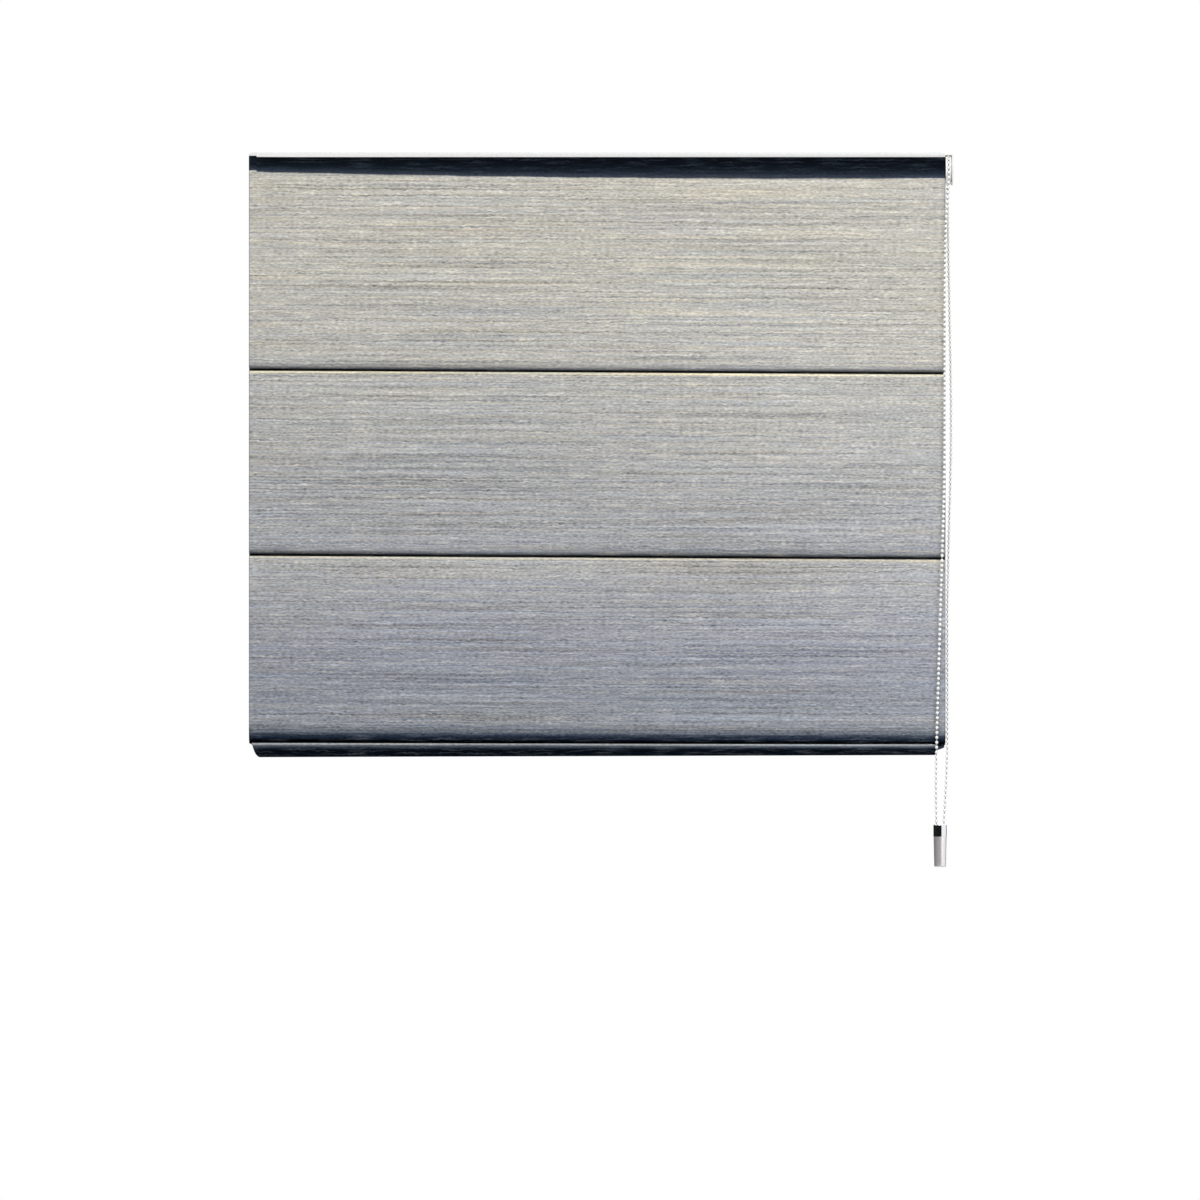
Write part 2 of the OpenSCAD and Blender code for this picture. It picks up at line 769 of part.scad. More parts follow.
// Chain weight: a cap with two chain holes, a hollow body and the pin that the chain turns under
weight_x = chain_x + turn.x;
weight_y = shaft_y + turn.y;
turn_z = shaft_z + turn.z;
pin_r = turn_r - bead_r - body_gap;
weight_r = weight_d / 2;
neck_h = 6;
cavity_r = turn_r + bead_r + body_gap;
neck_r = cavity_r + 0.55;
cap_foot = turn_z + pin_r + 1.2;
cap_top = cap_foot + weight_cap_h;
weight_foot = cap_top - weight_h;

module at_weight(z) {
  translate([weight_x, weight_y, z]) children();
}

module weight_cap() {
  top_wall = 2.2;
  bevel = 0.8;
  color("#d9dbdd") difference() {
    at_weight(cap_foot) rotate_extrude() difference() {
      polygon([[0, 0], [weight_r, 0], [weight_r, weight_cap_h - bevel],
        [weight_r - bevel, weight_cap_h], [0, weight_cap_h]]);
      translate([0, -over]) square([neck_r + fit_gap, neck_h + seat_gap + over]);
      square([cavity_r, weight_cap_h - top_wall]);
    }
    for (s = [-turn_r, turn_r])
      at_weight(cap_top - top_wall - over) translate([s, 0, 0])
        cylinder(r = bead_r + seat_gap, h = top_wall + 2 * over);
  }
}

module weight_body() {
  body_h = weight_h - weight_cap_h;
  top_r = weight_r - 0.25;
  foot_r = top_r - weight_taper;
  round_foot = 1.5;
  cavity_floor = turn_z - turn_r - bead_r - 1 - weight_foot;
  color("#cfd1d2") difference() {
    at_weight(weight_foot) rotate_extrude() difference() {
      union() {
        polygon(concat(
          [[0, 0], [foot_r - round_foot, 0]],
          arc([foot_r - round_foot, round_foot], round_foot, round_foot, -90, 0, 6),
          [[top_r, body_h], [0, body_h]]
        ));
        translate([0, body_h - over]) square([neck_r, neck_h + over]);
      }
      translate([0, cavity_floor]) square([cavity_r, weight_h]);
    }
    at_weight(turn_z) rotate([90, 0, 0])
      cylinder(r = pin_r + fit_gap, h = 2 * cavity_r + 1, center = true);
  }
}

module weight_pin() {
  color(steel) at_weight(turn_z) rotate([90, 0, 0])
    cylinder(r = pin_r, h = 2 * cavity_r + 0.8, center = true);
}

bracket(-bracket_spacing / 2);  // left_bracket
bracket(bracket_spacing / 2);  // right_bracket
headrail();
left_end_cap();
drive_housing();
chain_cover();
cover_screws();
hook_tape();
loop_tape();
heading_band();
face_fabric();
spool_cradle(cord_xs[0]);  // left_spool_cradle
spool_cradle(cord_xs[1]);  // middle_spool_cradle
spool_cradle(cord_xs[2]);  // right_spool_cradle
lift_cord(cord_xs[0]);  // left_lift_cord
lift_cord(cord_xs[1]);  // middle_lift_cord
lift_cord(cord_xs[2]);  // right_lift_cord
chain_cord();
chain_beads();
weight_cap();
weight_body();
weight_pin();
sprocket();
brake_spring();
drive_core();
drive_shaft();
shaft_end_plug();
spool(cord_xs[0]);  // left_spool
spool(cord_xs[1]);  // middle_spool
spool(cord_xs[2]);  // right_spool
rod_pocket(upper_z);  // upper_rod_pocket
rod(upper_z);  // upper_rod
rod_tip(-1, upper_z);  // upper_left_rod_tip
rod_tip(1, upper_z);  // upper_right_rod_tip
cord_ring(cord_xs[0], upper_z);  // upper_left_ring
cord_ring(cord_xs[1], upper_z);  // upper_middle_ring
cord_ring(cord_xs[2], upper_z);  // upper_right_ring
rod_pocket(lower_z);  // lower_rod_pocket
rod(lower_z);  // lower_rod
rod_tip(-1, lower_z);  // lower_left_rod_tip
rod_tip(1, lower_z);  // lower_right_rod_tip
cord_ring(cord_xs[0], lower_z);  // lower_left_ring
cord_ring(cord_xs[1], lower_z);  // lower_middle_ring
cord_ring(cord_xs[2], lower_z);  // lower_right_ring
hem();
bottom_bar();
bar_plug(-1);  // left_bar_plug
bar_plug(1);  // right_bar_plug
cord_anchor(cord_xs[0]);  // left_cord_anchor
cord_anchor(cord_xs[1]);  // middle_cord_anchor
cord_anchor(cord_xs[2]);  // right_cord_anchor
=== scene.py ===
"""Dresses the roman blind: its cloth, trims, bead chain, weight, cords and fittings."""
import json
import math
from itertools import accumulate

import bmesh
import bpy
from bpy.props import FloatProperty, FloatVectorProperty, IntProperty, PointerProperty
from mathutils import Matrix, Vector

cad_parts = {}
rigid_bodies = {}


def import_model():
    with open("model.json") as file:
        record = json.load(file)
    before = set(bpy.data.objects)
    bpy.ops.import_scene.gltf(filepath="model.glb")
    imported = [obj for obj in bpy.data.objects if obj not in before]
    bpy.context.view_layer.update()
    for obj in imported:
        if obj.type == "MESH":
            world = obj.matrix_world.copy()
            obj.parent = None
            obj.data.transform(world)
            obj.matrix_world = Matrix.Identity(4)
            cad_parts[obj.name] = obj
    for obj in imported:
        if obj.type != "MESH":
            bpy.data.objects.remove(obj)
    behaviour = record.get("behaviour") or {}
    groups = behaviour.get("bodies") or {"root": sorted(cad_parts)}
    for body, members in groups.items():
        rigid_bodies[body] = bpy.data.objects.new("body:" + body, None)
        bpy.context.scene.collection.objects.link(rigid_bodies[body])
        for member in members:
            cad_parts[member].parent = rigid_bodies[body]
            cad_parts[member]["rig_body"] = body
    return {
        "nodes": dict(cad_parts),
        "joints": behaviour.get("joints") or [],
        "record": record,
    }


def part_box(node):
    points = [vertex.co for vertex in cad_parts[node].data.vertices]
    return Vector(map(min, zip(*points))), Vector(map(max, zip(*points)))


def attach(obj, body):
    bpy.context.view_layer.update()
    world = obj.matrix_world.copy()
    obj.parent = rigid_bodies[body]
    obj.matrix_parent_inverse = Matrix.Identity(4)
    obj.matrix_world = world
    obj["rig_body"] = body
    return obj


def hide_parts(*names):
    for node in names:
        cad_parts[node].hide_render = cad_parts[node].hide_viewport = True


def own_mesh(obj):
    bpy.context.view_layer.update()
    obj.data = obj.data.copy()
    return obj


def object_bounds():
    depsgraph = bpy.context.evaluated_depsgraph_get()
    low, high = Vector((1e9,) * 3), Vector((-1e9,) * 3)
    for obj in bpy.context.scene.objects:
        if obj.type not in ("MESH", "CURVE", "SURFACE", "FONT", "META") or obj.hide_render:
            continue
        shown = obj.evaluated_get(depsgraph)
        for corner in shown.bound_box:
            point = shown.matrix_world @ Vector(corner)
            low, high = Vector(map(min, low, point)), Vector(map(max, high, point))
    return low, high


bl_info = {
    "name": "Roman Blind",
    "version": (1, 0, 0),
    "blender": (4, 5, 0),
    "location": "3D View > Sidebar > Blind",
    "description": "Dresses a creased roman blind with its cloth, trims, bead chain and fittings",
    "category": "Add Mesh",
}

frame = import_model()
CAD_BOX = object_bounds()
MM = 0.001


def middle(node):
    """The middle of a node's box."""
    low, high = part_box(node)
    return Vector([(a + b) / 2 for a, b in zip(low, high)])


# Places read from the frame
CLOTH_LOW, CLOTH_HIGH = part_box("face_fabric")
BAND_LOW, BAND_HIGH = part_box("heading_band")
HEM_LOW, HEM_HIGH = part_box("hem")
HALF_W = CLOTH_HIGH[0]
UPPER_CREASE = middle("upper_rod").z
LOWER_CREASE = middle("lower_rod").z
SHAFT = middle("drive_shaft")

# How far the hem rises, in metres, and how each joint that is tied to it follows
LIFT = next(joint["range_m"][1] for joint in frame["joints"] if joint["name"] == "lift")
RATIO = {tie["joint"]: tie["ratio"] for tie in frame["record"]["behaviour"]["couplings"]}

SLOT_OF = {part["node"]: part["material_slot"] for part in frame["record"]["subparts"]}

# Pieces of the chain weight by their CAD node
WEIGHT_PIECES = {
    "weight_cap": "weight_cap_shell",
    "weight_body": "weight_body_shell",
    "weight_pin": "weight_pin_bar",
}


def linear(code):
    """A linear colour from an sRGB hex code."""
    shares = [int(code[i:i + 2], 16) / 255 for i in (1, 3, 5)]
    return tuple(c / 12.92 if c <= 0.04045 else ((c + 0.055) / 1.055) ** 2.4 for c in shares)


def paint(colour):
    """A colour socket's value, from an sRGB hex code or from a setting's linear colour."""
    shares = linear(colour) if isinstance(colour, str) else colour
    return (*shares, 1.0)


def length_prop(name, about, size):
    """A length that a user may change, with its default in millimetres."""
    return FloatProperty(name=name, description=about, default=size * MM, precision=5, unit="LENGTH")


def colour_prop(name, about, code):
    """A colour that a user may change."""
    return FloatVectorProperty(
        name=name, description=about, default=linear(code), size=3, min=0, max=1, subtype="COLOR")


class ClothSettings(bpy.types.PropertyGroup):
    thickness: length_prop("Thickness", "Thickness of the cloth", 0.8)
    fold_radius: length_prop("Fold radius", "Radius of the fold inside a crease", 1.4)
    lip_height: length_prop("Lip height", "Height over which a panel curves under", 8.6)
    shoulder_depth: length_prop("Shoulder depth", "Depth of the round edge under a crease", 2.6)
    shoulder_height: length_prop("Shoulder height", "Height of the round edge under a crease", 3.0)
    crease_sag: length_prop("Crease sag", "How far a crease hangs below its batten", 0.6)
    hem_sag: length_prop("Hem sag", "How far the roll hangs over the hem", 1.8)
    ripple: length_prop("Ripple", "Slack that shows as a slow ripple in the panels", 0.3)
    crease_slope: FloatProperty(
        name="Crease slope", description="Fall of the creases towards the chain side", default=-0.0055)
    hem_slope: FloatProperty(
        name="Hem slope", description="Fall of the hem's seam towards the chain side", default=-0.003)
    cream: colour_prop("Cream yarn", "Colour of the light slubs", "#DDD8C6")
    slate: colour_prop("Slate yarn", "Colour of the dark slubs", "#6E7683")


class ChainSettings(bpy.types.PropertyGroup):
    bead_diameter: length_prop("Bead diameter", "Diameter of a bead", 4.0)
    bead_pitch: length_prop("Bead pitch", "Distance from bead to bead along the thread", 6.0)
    thread_diameter: length_prop("Thread diameter", "Diameter of the thread", 1.4)
    bead_colour: colour_prop("Bead colour", "Colour of the beads", "#F6F6F4")


class LiftSettings(bpy.types.PropertyGroup):
    cord_diameter: length_prop("Cord diameter", "Diameter of a lift cord", 1.4)
    turns: IntProperty(name="Turns", description="Turns of cord left on a spool", default=4, min=1, max=8)
    cord_colour: colour_prop("Cord colour", "Colour of the lift cords", "#E8E7E0")


class StitchSettings(bpy.types.PropertyGroup):
    pitch: length_prop("Stitch pitch", "Distance from stitch to stitch", 4.0)
    length: length_prop("Stitch length", "Length of a stitch that shows", 2.8)
    width: length_prop("Stitch width", "Width of the sewing thread", 0.5)
    colour: colour_prop("Stitch colour", "Colour of the sewing thread", "#A9ABA9")


class StageSettings(bpy.types.PropertyGroup):
    view_width: length_prop("View width", "Width that the camera sees at the cloth", 1464)
    view_distance: length_prop("View distance", "Distance from the camera to the cloth", 9000)
    key_strength: FloatProperty(name="Key", description="Power of the main lamp", default=93, unit="POWER")
    ambient: FloatProperty(name="Ambient", description="Strength of the room light", default=0.35)


def add_node(tree, kind, inputs=None, stops=None, **settings):
    """Adds a node, sets its attributes and links or fills its inputs."""
    node = tree.nodes.new(kind)
    for name, value in settings.items():
        setattr(node, name, value)
    for name, value in (inputs or {}).items():
        socket = node.inputs[name]
        if isinstance(value, bpy.types.NodeSocket):
            tree.links.new(value, socket)
        else:
            socket.default_value = value
    for i, (place, colour) in enumerate(stops or []):
        elements = node.color_ramp.elements
        element = elements[i] if i < 2 else elements.new(place)
        element.position = place
        element.color = colour
    return node


def new_finish(name, colour, roughness, **sockets):
    """A material with its Principled shader, whose even values sit on its own sockets."""
    material = bpy.data.materials.new(name)
    material.use_nodes = True
    tree = material.node_tree
    shader = tree.nodes["Principled BSDF"]
    shader.inputs["Base Color"].default_value = paint(colour)
    shader.inputs["Roughness"].default_value = roughness
    for socket, value in sockets.items():
        shader.inputs[socket.replace("_", " ")].default_value = value
    return material, tree, shader


def millimetres(tree, source, sizes):
    """Texture coordinates counted in cells, with a cell's sizes given in millimetres."""
    coordinates = add_node(tree, "ShaderNodeTexCoord")
    cells = [1 / (size * MM) for size in sizes]
    mapped = add_node(tree, "ShaderNodeMapping",
                      {"Vector": coordinates.outputs[source], "Scale": cells})
    return mapped.outputs["Vector"]


def dress(tree, shader, colour, height, strength, depth):
    """Gives a shader its colour, and a relief with its depth in millimetres."""
    bump = add_node(tree, "ShaderNodeBump",
                    {"Height": height, "Strength": strength, "Distance": depth * MM})
    tree.links.new(colour, shader.inputs["Base Color"])
    tree.links.new(bump.outputs["Normal"], shader.inputs["Normal"])


def slub_weave(name, tones, span, yarns, contrast, lustre):
    """Linen with slub yarns: long uneven lines and short flecks, cream and slate on a toned ground.

    The ground's tones follow the cloth down its own UV map, over a span in metres, and the yarns'
    contrast is given at both ends of it. Yarns are drawn thicker than real ones, so that they show.
    """
    material, tree, shader = new_finish(name, "#B5B3AD", 0.86, Specular_IOR_Level=lustre)
    place = millimetres(tree, "UV", (1, 1, 1))
    parts = add_node(tree, "ShaderNodeSeparateXYZ", {"Vector": place}).outputs
    fall = add_node(tree, "ShaderNodeMapRange",
                    {0: parts["Y"], 1: span[0] / MM, 2: span[1] / MM}).outputs[0]
    stops = [(share_down, paint(code)) for share_down, code in tones]
    ground = add_node(tree, "ShaderNodeValToRGB", {"Fac": fall}, stops)

    def patches(source, length, height):
        """Uneven patches of a length and height in millimetres."""
        cell = (1 / length, 1 / height, 1)
        cells = add_node(tree, "ShaderNodeVectorMath", {0: source, 1: cell}, operation="MULTIPLY")
        noise = add_node(tree, "ShaderNodeTexNoise",
                         {"Vector": cells.outputs[0], "Scale": 1.0, "Detail": 1.0})
        return noise.outputs["Fac"]

    # Yarns wander slowly and ripple over their neighbours: length, height and reach in millimetres
    level = parts["Y"]
    for length, height, reach in ((80, 24, 1.8), (8, 3.5, 2.2)):
        shift = add_node(tree, "ShaderNodeMapRange",
                         {0: patches(place, length, height), 3: -reach, 4: reach})
        bent = add_node(tree, "ShaderNodeMath", {0: level, 1: shift.outputs[0]}, operation="ADD")
        level = bent.outputs[0]
    yarn = add_node(tree, "ShaderNodeCombineXYZ", {"X": parts["X"], "Y": level}).outputs[0]

    # Layers of yarn: length and height in millimetres, and share in the tone
    layers = {
        "line": (420, 1.95, 1.35),
        "slub": (34, 2.1, 0.8),
        "fleck": (5, 1.75, 1.75),
        "bar": (300, 9, 0.8),
    }
    noises = {}
    depth = -sum(amount for _, _, amount in layers.values()) / 2
    for key, (length, height, amount) in layers.items():
        noises[key] = patches(yarn, length, height)
        summed = add_node(tree, "ShaderNodeMath", {0: noises[key], 1: amount, 2: depth},
                          operation="MULTIPLY_ADD")
        depth = summed.outputs[0]
    head, foot = contrast
    strength = add_node(tree, "ShaderNodeMapRange", {0: fall, 3: head, 4: foot})
    weight = add_node(tree, "ShaderNodeMath", {0: depth, 1: strength.outputs[0], 2: 1.0},
                      operation="MULTIPLY_ADD")

    # Cream shows on the slubs and fades down the cloth; slate shows on lines, bars and the cut sides.
    # Each has the values between which it goes from none to full, and its share at full.
    cream, slate = yarns
    tint = (head + foot) / 2
    warmth = add_node(tree, "ShaderNodeMapRange", {0: fall, 3: 0.5 * tint, 4: 0.15 * tint})
    side = add_node(tree, "ShaderNodeMath", {0: parts["X"]}, operation="ABSOLUTE")
    shown = (
        (cream, noises["slub"], 0.5, 0.7, warmth.outputs[0]),
        (slate, noises["line"], 0.5, 0.3, 0.4 * tint),
        (slate, noises["bar"], 0.5, 0.7, 0.3 * tint),
        (slate, side.outputs[0], HALF_W / MM - 1.6, HALF_W / MM - 0.6, 0.6),
    )
    tone = ground.outputs["Color"]
    for colour, source, none, full, most in shown:
        amount = add_node(tree, "ShaderNodeMapRange", {0: source, 1: none, 2: full, 4: most})
        mix = add_node(tree, "ShaderNodeMix", {0: amount.outputs[0], 6: tone, 7: paint(colour)},
                       data_type="RGBA")
        tone = mix.outputs[2]

    # Streaks of two dye lots that differ in hue alone
    cold_lot = (0.955, 0.995, 1.07, 1)
    warm_lot = (1.04, 1, 0.93, 1)
    lot = add_node(tree, "ShaderNodeMapRange", {0: patches(yarn, 320, 2.8), 1: 0.3, 2: 0.7})
    dye = add_node(tree, "ShaderNodeMix", {0: lot.outputs[0], 6: cold_lot, 7: warm_lot}, data_type="RGBA")
    dyed = add_node(tree, "ShaderNodeVectorMath", {0: tone, 1: dye.outputs[2]}, operation="MULTIPLY")
    woven = add_node(tree, "ShaderNodeVectorMath", {0: dyed.outputs[0], "Scale": weight.outputs[0]},
                     operation="SCALE")
    relief = add_node(tree, "ShaderNodeMath", {0: noises["line"], 1: noises["fleck"]}, operation="ADD")
    dress(tree, shader, woven.outputs[0], relief.outputs[0], strength=0.5, depth=0.5)
    return material


def grained(name, colour, roughness, grain, depth, spread=0.08, tint="#D8D8D4", **sockets):
    """A rigid finish with a fine uneven surface, and a tint on its high places.

    The grain's sizes along X, Y and Z and its depth are in millimetres, and the roughness varies by a spread.
    """
    material, tree, shader = new_finish(name, colour, roughness, **sockets)
    noise = add_node(tree, "ShaderNodeTexNoise",
                     {"Vector": millimetres(tree, "Object", grain), "Scale": 1.0, "Detail": 3.0})
    height = noise.outputs["Fac"]
    rough = add_node(tree, "ShaderNodeMapRange", {0: height, 3: roughness - spread, 4: roughness + spread})
    tree.links.new(rough.outputs[0], shader.inputs["Roughness"])
    amount = add_node(tree, "ShaderNodeMapRange", {0: height, 1: 0.45, 2: 0.75, 4: 0.35})
    mix = add_node(tree, "ShaderNodeMix",
                   {0: amount.outputs[0], 6: paint(colour), 7: paint(tint)}, data_type="RGBA")
    dress(tree, shader, mix.outputs[2], height, strength=0.4, depth=depth)
    return material


def braid(name, colour, pitch):
    """A cord of two sets of strands that cross at a pitch in millimetres, shaded where they dip.

    It is laid on the cord's own UV map, in metres along it and turns round it.
    """
    material, tree, shader = new_finish(name, colour, 0.62, Sheen_Weight=0.15, Specular_IOR_Level=0.3)
    place = add_node(tree, "ShaderNodeTexCoord").outputs["UV"]
    sets = []
    for strands in (-2.0, 2.0):
        lay = add_node(tree, "ShaderNodeVectorMath", {0: place, 1: (1 / (pitch * MM), strands, 0)},
                       operation="DOT_PRODUCT")
        phase = add_node(tree, "ShaderNodeMath", {0: lay.outputs["Value"], 1: 2 * math.pi},
                         operation="MULTIPLY")
        sets.append(add_node(tree, "ShaderNodeMath", {0: phase.outputs[0]}, operation="SINE"))
    height = add_node(tree, "ShaderNodeMath", {0: sets[0].outputs[0], 1: sets[1].outputs[0]},
                      operation="MULTIPLY").outputs[0]
    shade = add_node(tree, "ShaderNodeMapRange", {0: height, 1: -1.0, 2: 1.0, 3: 0.45, 4: 0.0})
    mix = add_node(tree, "ShaderNodeMix",
                   {0: shade.outputs[0], 6: paint(colour), 7: paint("#9A9B98")}, data_type="RGBA")
    dress(tree, shader, mix.outputs[2], height, strength=0.5, depth=0.15)
    return material


def face_linen(cloth):
    """Slubbed linen whose ground turns from warm grey at the head to cool grey at the foot. The ground
    carries painted shade: it darkens down the cloth as the light from above falls off, and darker still above
    the lower crease and above the roll, with a painted highlight just under the lower crease.
    """
    tones = (
        (0.0, "#C2BEB4"), (0.05, "#C1BDB3"), (0.085, "#BBB8B1"), (0.12, "#BFBBB2"), (0.18, "#BFBCB3"),
        (0.3, "#BBB9B3"), (0.335, "#B8B6B0"), (0.4, "#B6B5B1"), (0.55, "#AAAAAA"), (0.645, "#A6A7AA"),
        (0.662, "#999BA0"), (0.69, "#B4B3B0"), (0.72, "#ABABAD"), (0.74, "#A7A8AB"), (0.84, "#989BA4"),
        (0.93, "#90949C"), (0.944, "#93979E"), (0.952, "#9A9DA4"), (0.96, "#93979E"), (0.974, "#757981"))
    return slub_weave("slubbed_grey_linen", tones, span=(0, 0.735), yarns=(cloth.cream, cloth.slate),
                      contrast=(0.62, 0.78), lustre=0.25)


def crease_linen(cloth, panel, span):
    """The face linen at a crease, with painted shade darkening the lip and the inside of the fold, and a
    painted cream highlight on the edge under it.
    """
    places = (0.0, 0.16, 0.28, 0.37, 0.45, 0.51, 0.85, 0.875, 0.98, 1.0)
    shades = {
        "upper": ("#B7B5B0", "#A7A7A5", "#8B8C90", "#64676D", "#33363C", "#08090C", "#08090C", "#E8E1C6",
                  "#E6DFC6", "#B4B3B0"),
        "middle": ("#999BA0", "#919498", "#73767D", "#535860", "#2B3037", "#070A0E", "#070A0E", "#D3CDBB",
                   "#D0CABA", "#B0AFAC"),
    }
    return slub_weave("creased_linen_" + panel, zip(places, shades[panel]), span,
                      yarns=(cloth.cream, cloth.slate), contrast=(0.5, 0.5), lustre=0.15)


def band_linen():
    """The same weave in navy, a painted shade over the head of the cloth, lighter along the band's lower edge
    where the shade fades.
    """
    tones = (
        (0.0, "#05090F"), (0.3, "#080D15"), (0.55, "#10171F"), (0.78, "#212934"), (0.92, "#353D49"),
        (1.0, "#464E5A"))
    return slub_weave("band_linen_painted_shade", tones, span=(0, 0.023), yarns=("#46505E", "#0B1018"),
                      contrast=(0.5, 0.6), lustre=0.04)


def hem_linen():
    """Navy linen of the roll and hem, with painted light and shade: the roll fades from the grey panel above
    into navy that stands for the shade as it curves under, the gap under the roll is painted near black, the
    hem's top edge carries a painted pale highlight, and a fainter painted highlight runs along its foot.
    """
    tones = (
        (0.0, "#777C84"), (0.08, "#727780"), (0.1, "#545C69"), (0.12, "#3F4756"), (0.14, "#353E4E"),
        (0.17, "#253041"), (0.215, "#172131"), (0.24, "#0A121D"), (0.265, "#010307"), (0.417, "#010307"),
        (0.43, "#A9ADAF"), (0.447, "#9CA1A5"), (0.465, "#60666E"), (0.487, "#424954"), (0.507, "#252C37"),
        (0.53, "#0B121D"), (0.556, "#01060E"), (0.62, "#030914"), (0.78, "#131A24"), (0.84, "#465061"),
        (0.9, "#2A323F"), (0.97, "#0C1119"))
    return slub_weave("hem_linen_painted_light", tones, span=(0, 0.06), yarns=("#767C86", "#0B1018"),
                      contrast=(0.9, 0.2), lustre=0.04)


def rigid_finishes():
    """The finishes of the rigid pieces, by the record's slot.

    A grain finer than about half a millimetre is drawn that coarse, so that it shows.
    """
    return {
        # Powder-coated aluminium: even white with a faint orange peel
        "white_enamel": grained("powder_coated_aluminium", "#F4F5F5", 0.38, (3, 3, 3), 0.03),
        # Moulded ABS: soft white with a spark-eroded mould grain
        "white_plastic": grained("moulded_white_abs", "#ECECE9", 0.46, (0.9, 0.9, 0.9), 0.03),
        # Zinc-plated pressed steel: cloudy grey spangle
        "bracket_steel": grained(
            "zinc_plated_steel", "#B9BCBF", 0.38, (7, 7, 7), 0.02, 0.12, "#8E9296", Metallic=1.0),
        # Drawn steel wire and screws: bright with fine draw marks
        "screw_steel": grained(
            "bright_drawn_steel", "#C4C6C8", 0.28, (0.4, 4, 4), 0.01, 0.08, "#95989B", Metallic=1.0),
        # Hook and loop tape: a nap of nylon hooks
        "heading_tape": grained("nylon_hook_tape", "#DEDEDA", 0.8, (0.8, 0.8, 0.8), 0.3, 0.1, "#A9A9A4"),
        # Glass-filled nylon: dark grey with pale fibre flecks
        "dark_plastic": grained("glass_filled_nylon", "#3A3E44", 0.5, (0.5, 2, 2), 0.03, 0.1, "#5A5F66"),
        # Mill-finish aluminium: die lines along the extrusion
        "bare_aluminium": grained(
            "mill_finish_aluminium", "#C3C6C8", 0.34, (60, 0.5, 0.5), 0.01, 0.1, "#9DA1A5", Metallic=1.0),
        # Woven polyester tape: ribs across the blind
        "batten_tape": grained(
            "woven_polyester_tape", "#D9D7CF", 0.82, (6, 0.7, 0.7), 0.15, 0.06, "#B7B4AA"),
        # Pultruded glass fibre: glassy with fibres along the rod
        "glass_fibre": grained(
            "pultruded_glass_fibre", "#E6E6E1", 0.3, (40, 0.4, 0.4), 0.01, 0.08, "#C9C9C2"),
        # Polished chrome plate: mirror with a trace of haze
        "weight_chrome": grained(
            "polished_chrome_plate", "#EDEFF2", 0.06, (9, 9, 9), 0.003, 0.03, "#DDE0E4", Metallic=1.0),
        # Satin metallic lacquer: a soft sheen, with faint bands from the turned body under it
        "weight_satin": grained(
            "satin_metallic_lacquer", "#EAE7E8", 0.34, (14, 14, 2), 0.002, 0.03, "#DEDCE4", Metallic=0.7),
    }


def add_object(name, data):
    """Adds an object to the scene, at its origin."""
    item = bpy.data.objects.new(name, data)
    bpy.context.scene.collection.objects.link(item)
    return item


def add_piece(name, mesh, material, body, slot, *nodes):
    """Adds a finished mesh as a piece that moves with a body and stands for CAD nodes."""
    mesh.materials.clear()
    mesh.materials.append(material)
    piece = add_object(name, mesh)
    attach(piece, body)
    if nodes:
        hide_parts(*nodes)
    return piece


def smooth(mesh, angle=32):
    """Shades a mesh smooth, with edges sharper than an angle in degrees kept sharp."""
    mesh.polygons.foreach_set("use_smooth", [True] * len(mesh.polygons))
    mesh.set_sharp_from_angle(angle=math.radians(angle))


def arc(centre, wide, high, start, end, steps):
    """Points in a plane along an elliptical arc, from one angle to another in degrees."""
    angles = [math.radians(start + (end - start) * i / steps) for i in range(steps + 1)]
    return [(centre[0] + wide * math.cos(a), centre[1] + high * math.sin(a)) for a in angles]


def straight(a, b, steps):
    """Points along a line, both ends included."""
    return [tuple(p + (q - p) * i / steps for p, q in zip(a, b)) for i in range(steps + 1)]


def lengths(path, start=0.0):
    """The length along a path at each of its points."""
    return list(accumulate(map(math.dist, path, path[1:]), initial=start))


def run(points, start=0.0):
    """Each point with the cloth's length down to it."""
    return [(*point, down) for point, down in zip(points, lengths(points, start))]


def share(value, low, high):
    """How far a value lies between two others, from 0 to 1."""
    return min(max((value - low) / (high - low), 0), 1)


def swept_cloth(name, rows, spans, place, breaks=()):
    """A cloth surface that faces forward, with a UV map in metres: each row runs across its span.

    Breaks are places across the cloth that get a column of their own.
    """
    columns = 86
    bm = bmesh.new()
    layer = bm.loops.layers.uv.new("cloth")
    grid = []
    for (y, z, down), (left, right) in zip(rows, spans):
        across = sorted([*(left + (right - left) * i / columns for i in range(columns + 1)), *breaks])
        grid.append([(bm.verts.new(place(x, y, z)), (x, down)) for x in across])
    for upper, lower in zip(grid, grid[1:]):
        for i in range(len(upper) - 1):
            corners = (upper[i], lower[i], lower[i + 1], upper[i + 1])
            face = bm.faces.new([vert for vert, _ in corners])
            for loop, (_, uv) in zip(face.loops, corners):
                loop[layer].uv = uv
    for face in bm.faces:
        face.smooth = True
    for edge in bm.edges:
        edge.smooth = not edge.is_boundary
    mesh = bpy.data.meshes.new(name)
    bm.to_mesh(mesh)
    bm.free()
    return mesh


def thicken(piece, thickness):
    """Gives a cloth surface its thickness, half to each side."""
    solid = piece.modifiers.new("thickness", "SOLIDIFY")
    solid.thickness = thickness
    solid.offset = 0
    solid.use_even_offset = True


def hang(cloth):
    """How the cloth hangs: creases fall a little to one side and the panels ripple slowly."""
    held_levels = (UPPER_CREASE, LOWER_CREASE, HEM_HIGH[2])
    # The ripple grows from the heading band down to a level, and near a held level a share of it is left
    free_level = UPPER_CREASE / 3
    free_height = 60 * MM
    held_share = 0.3
    # Waves of the ripple: metres across and up for a radian, share and start
    waves = ((0.061, 0.14, 1.0, 0.0), (0.027, -0.09, 0.6, 1.3))
    most = sum(amount for _, _, amount, _ in waves)

    def place(x, y, z):
        near = min(abs(z - level) for level in held_levels)
        free = share(z, BAND_LOW[2], free_level)
        free *= held_share + (1 - held_share) * share(near, 0.0, free_height)
        wave = sum(amount * math.sin(x / across + z / up + start) for across, up, amount, start in waves)
        return Vector((x, y - cloth.ripple * free * wave / most, z + cloth.crease_slope * x))

    return place


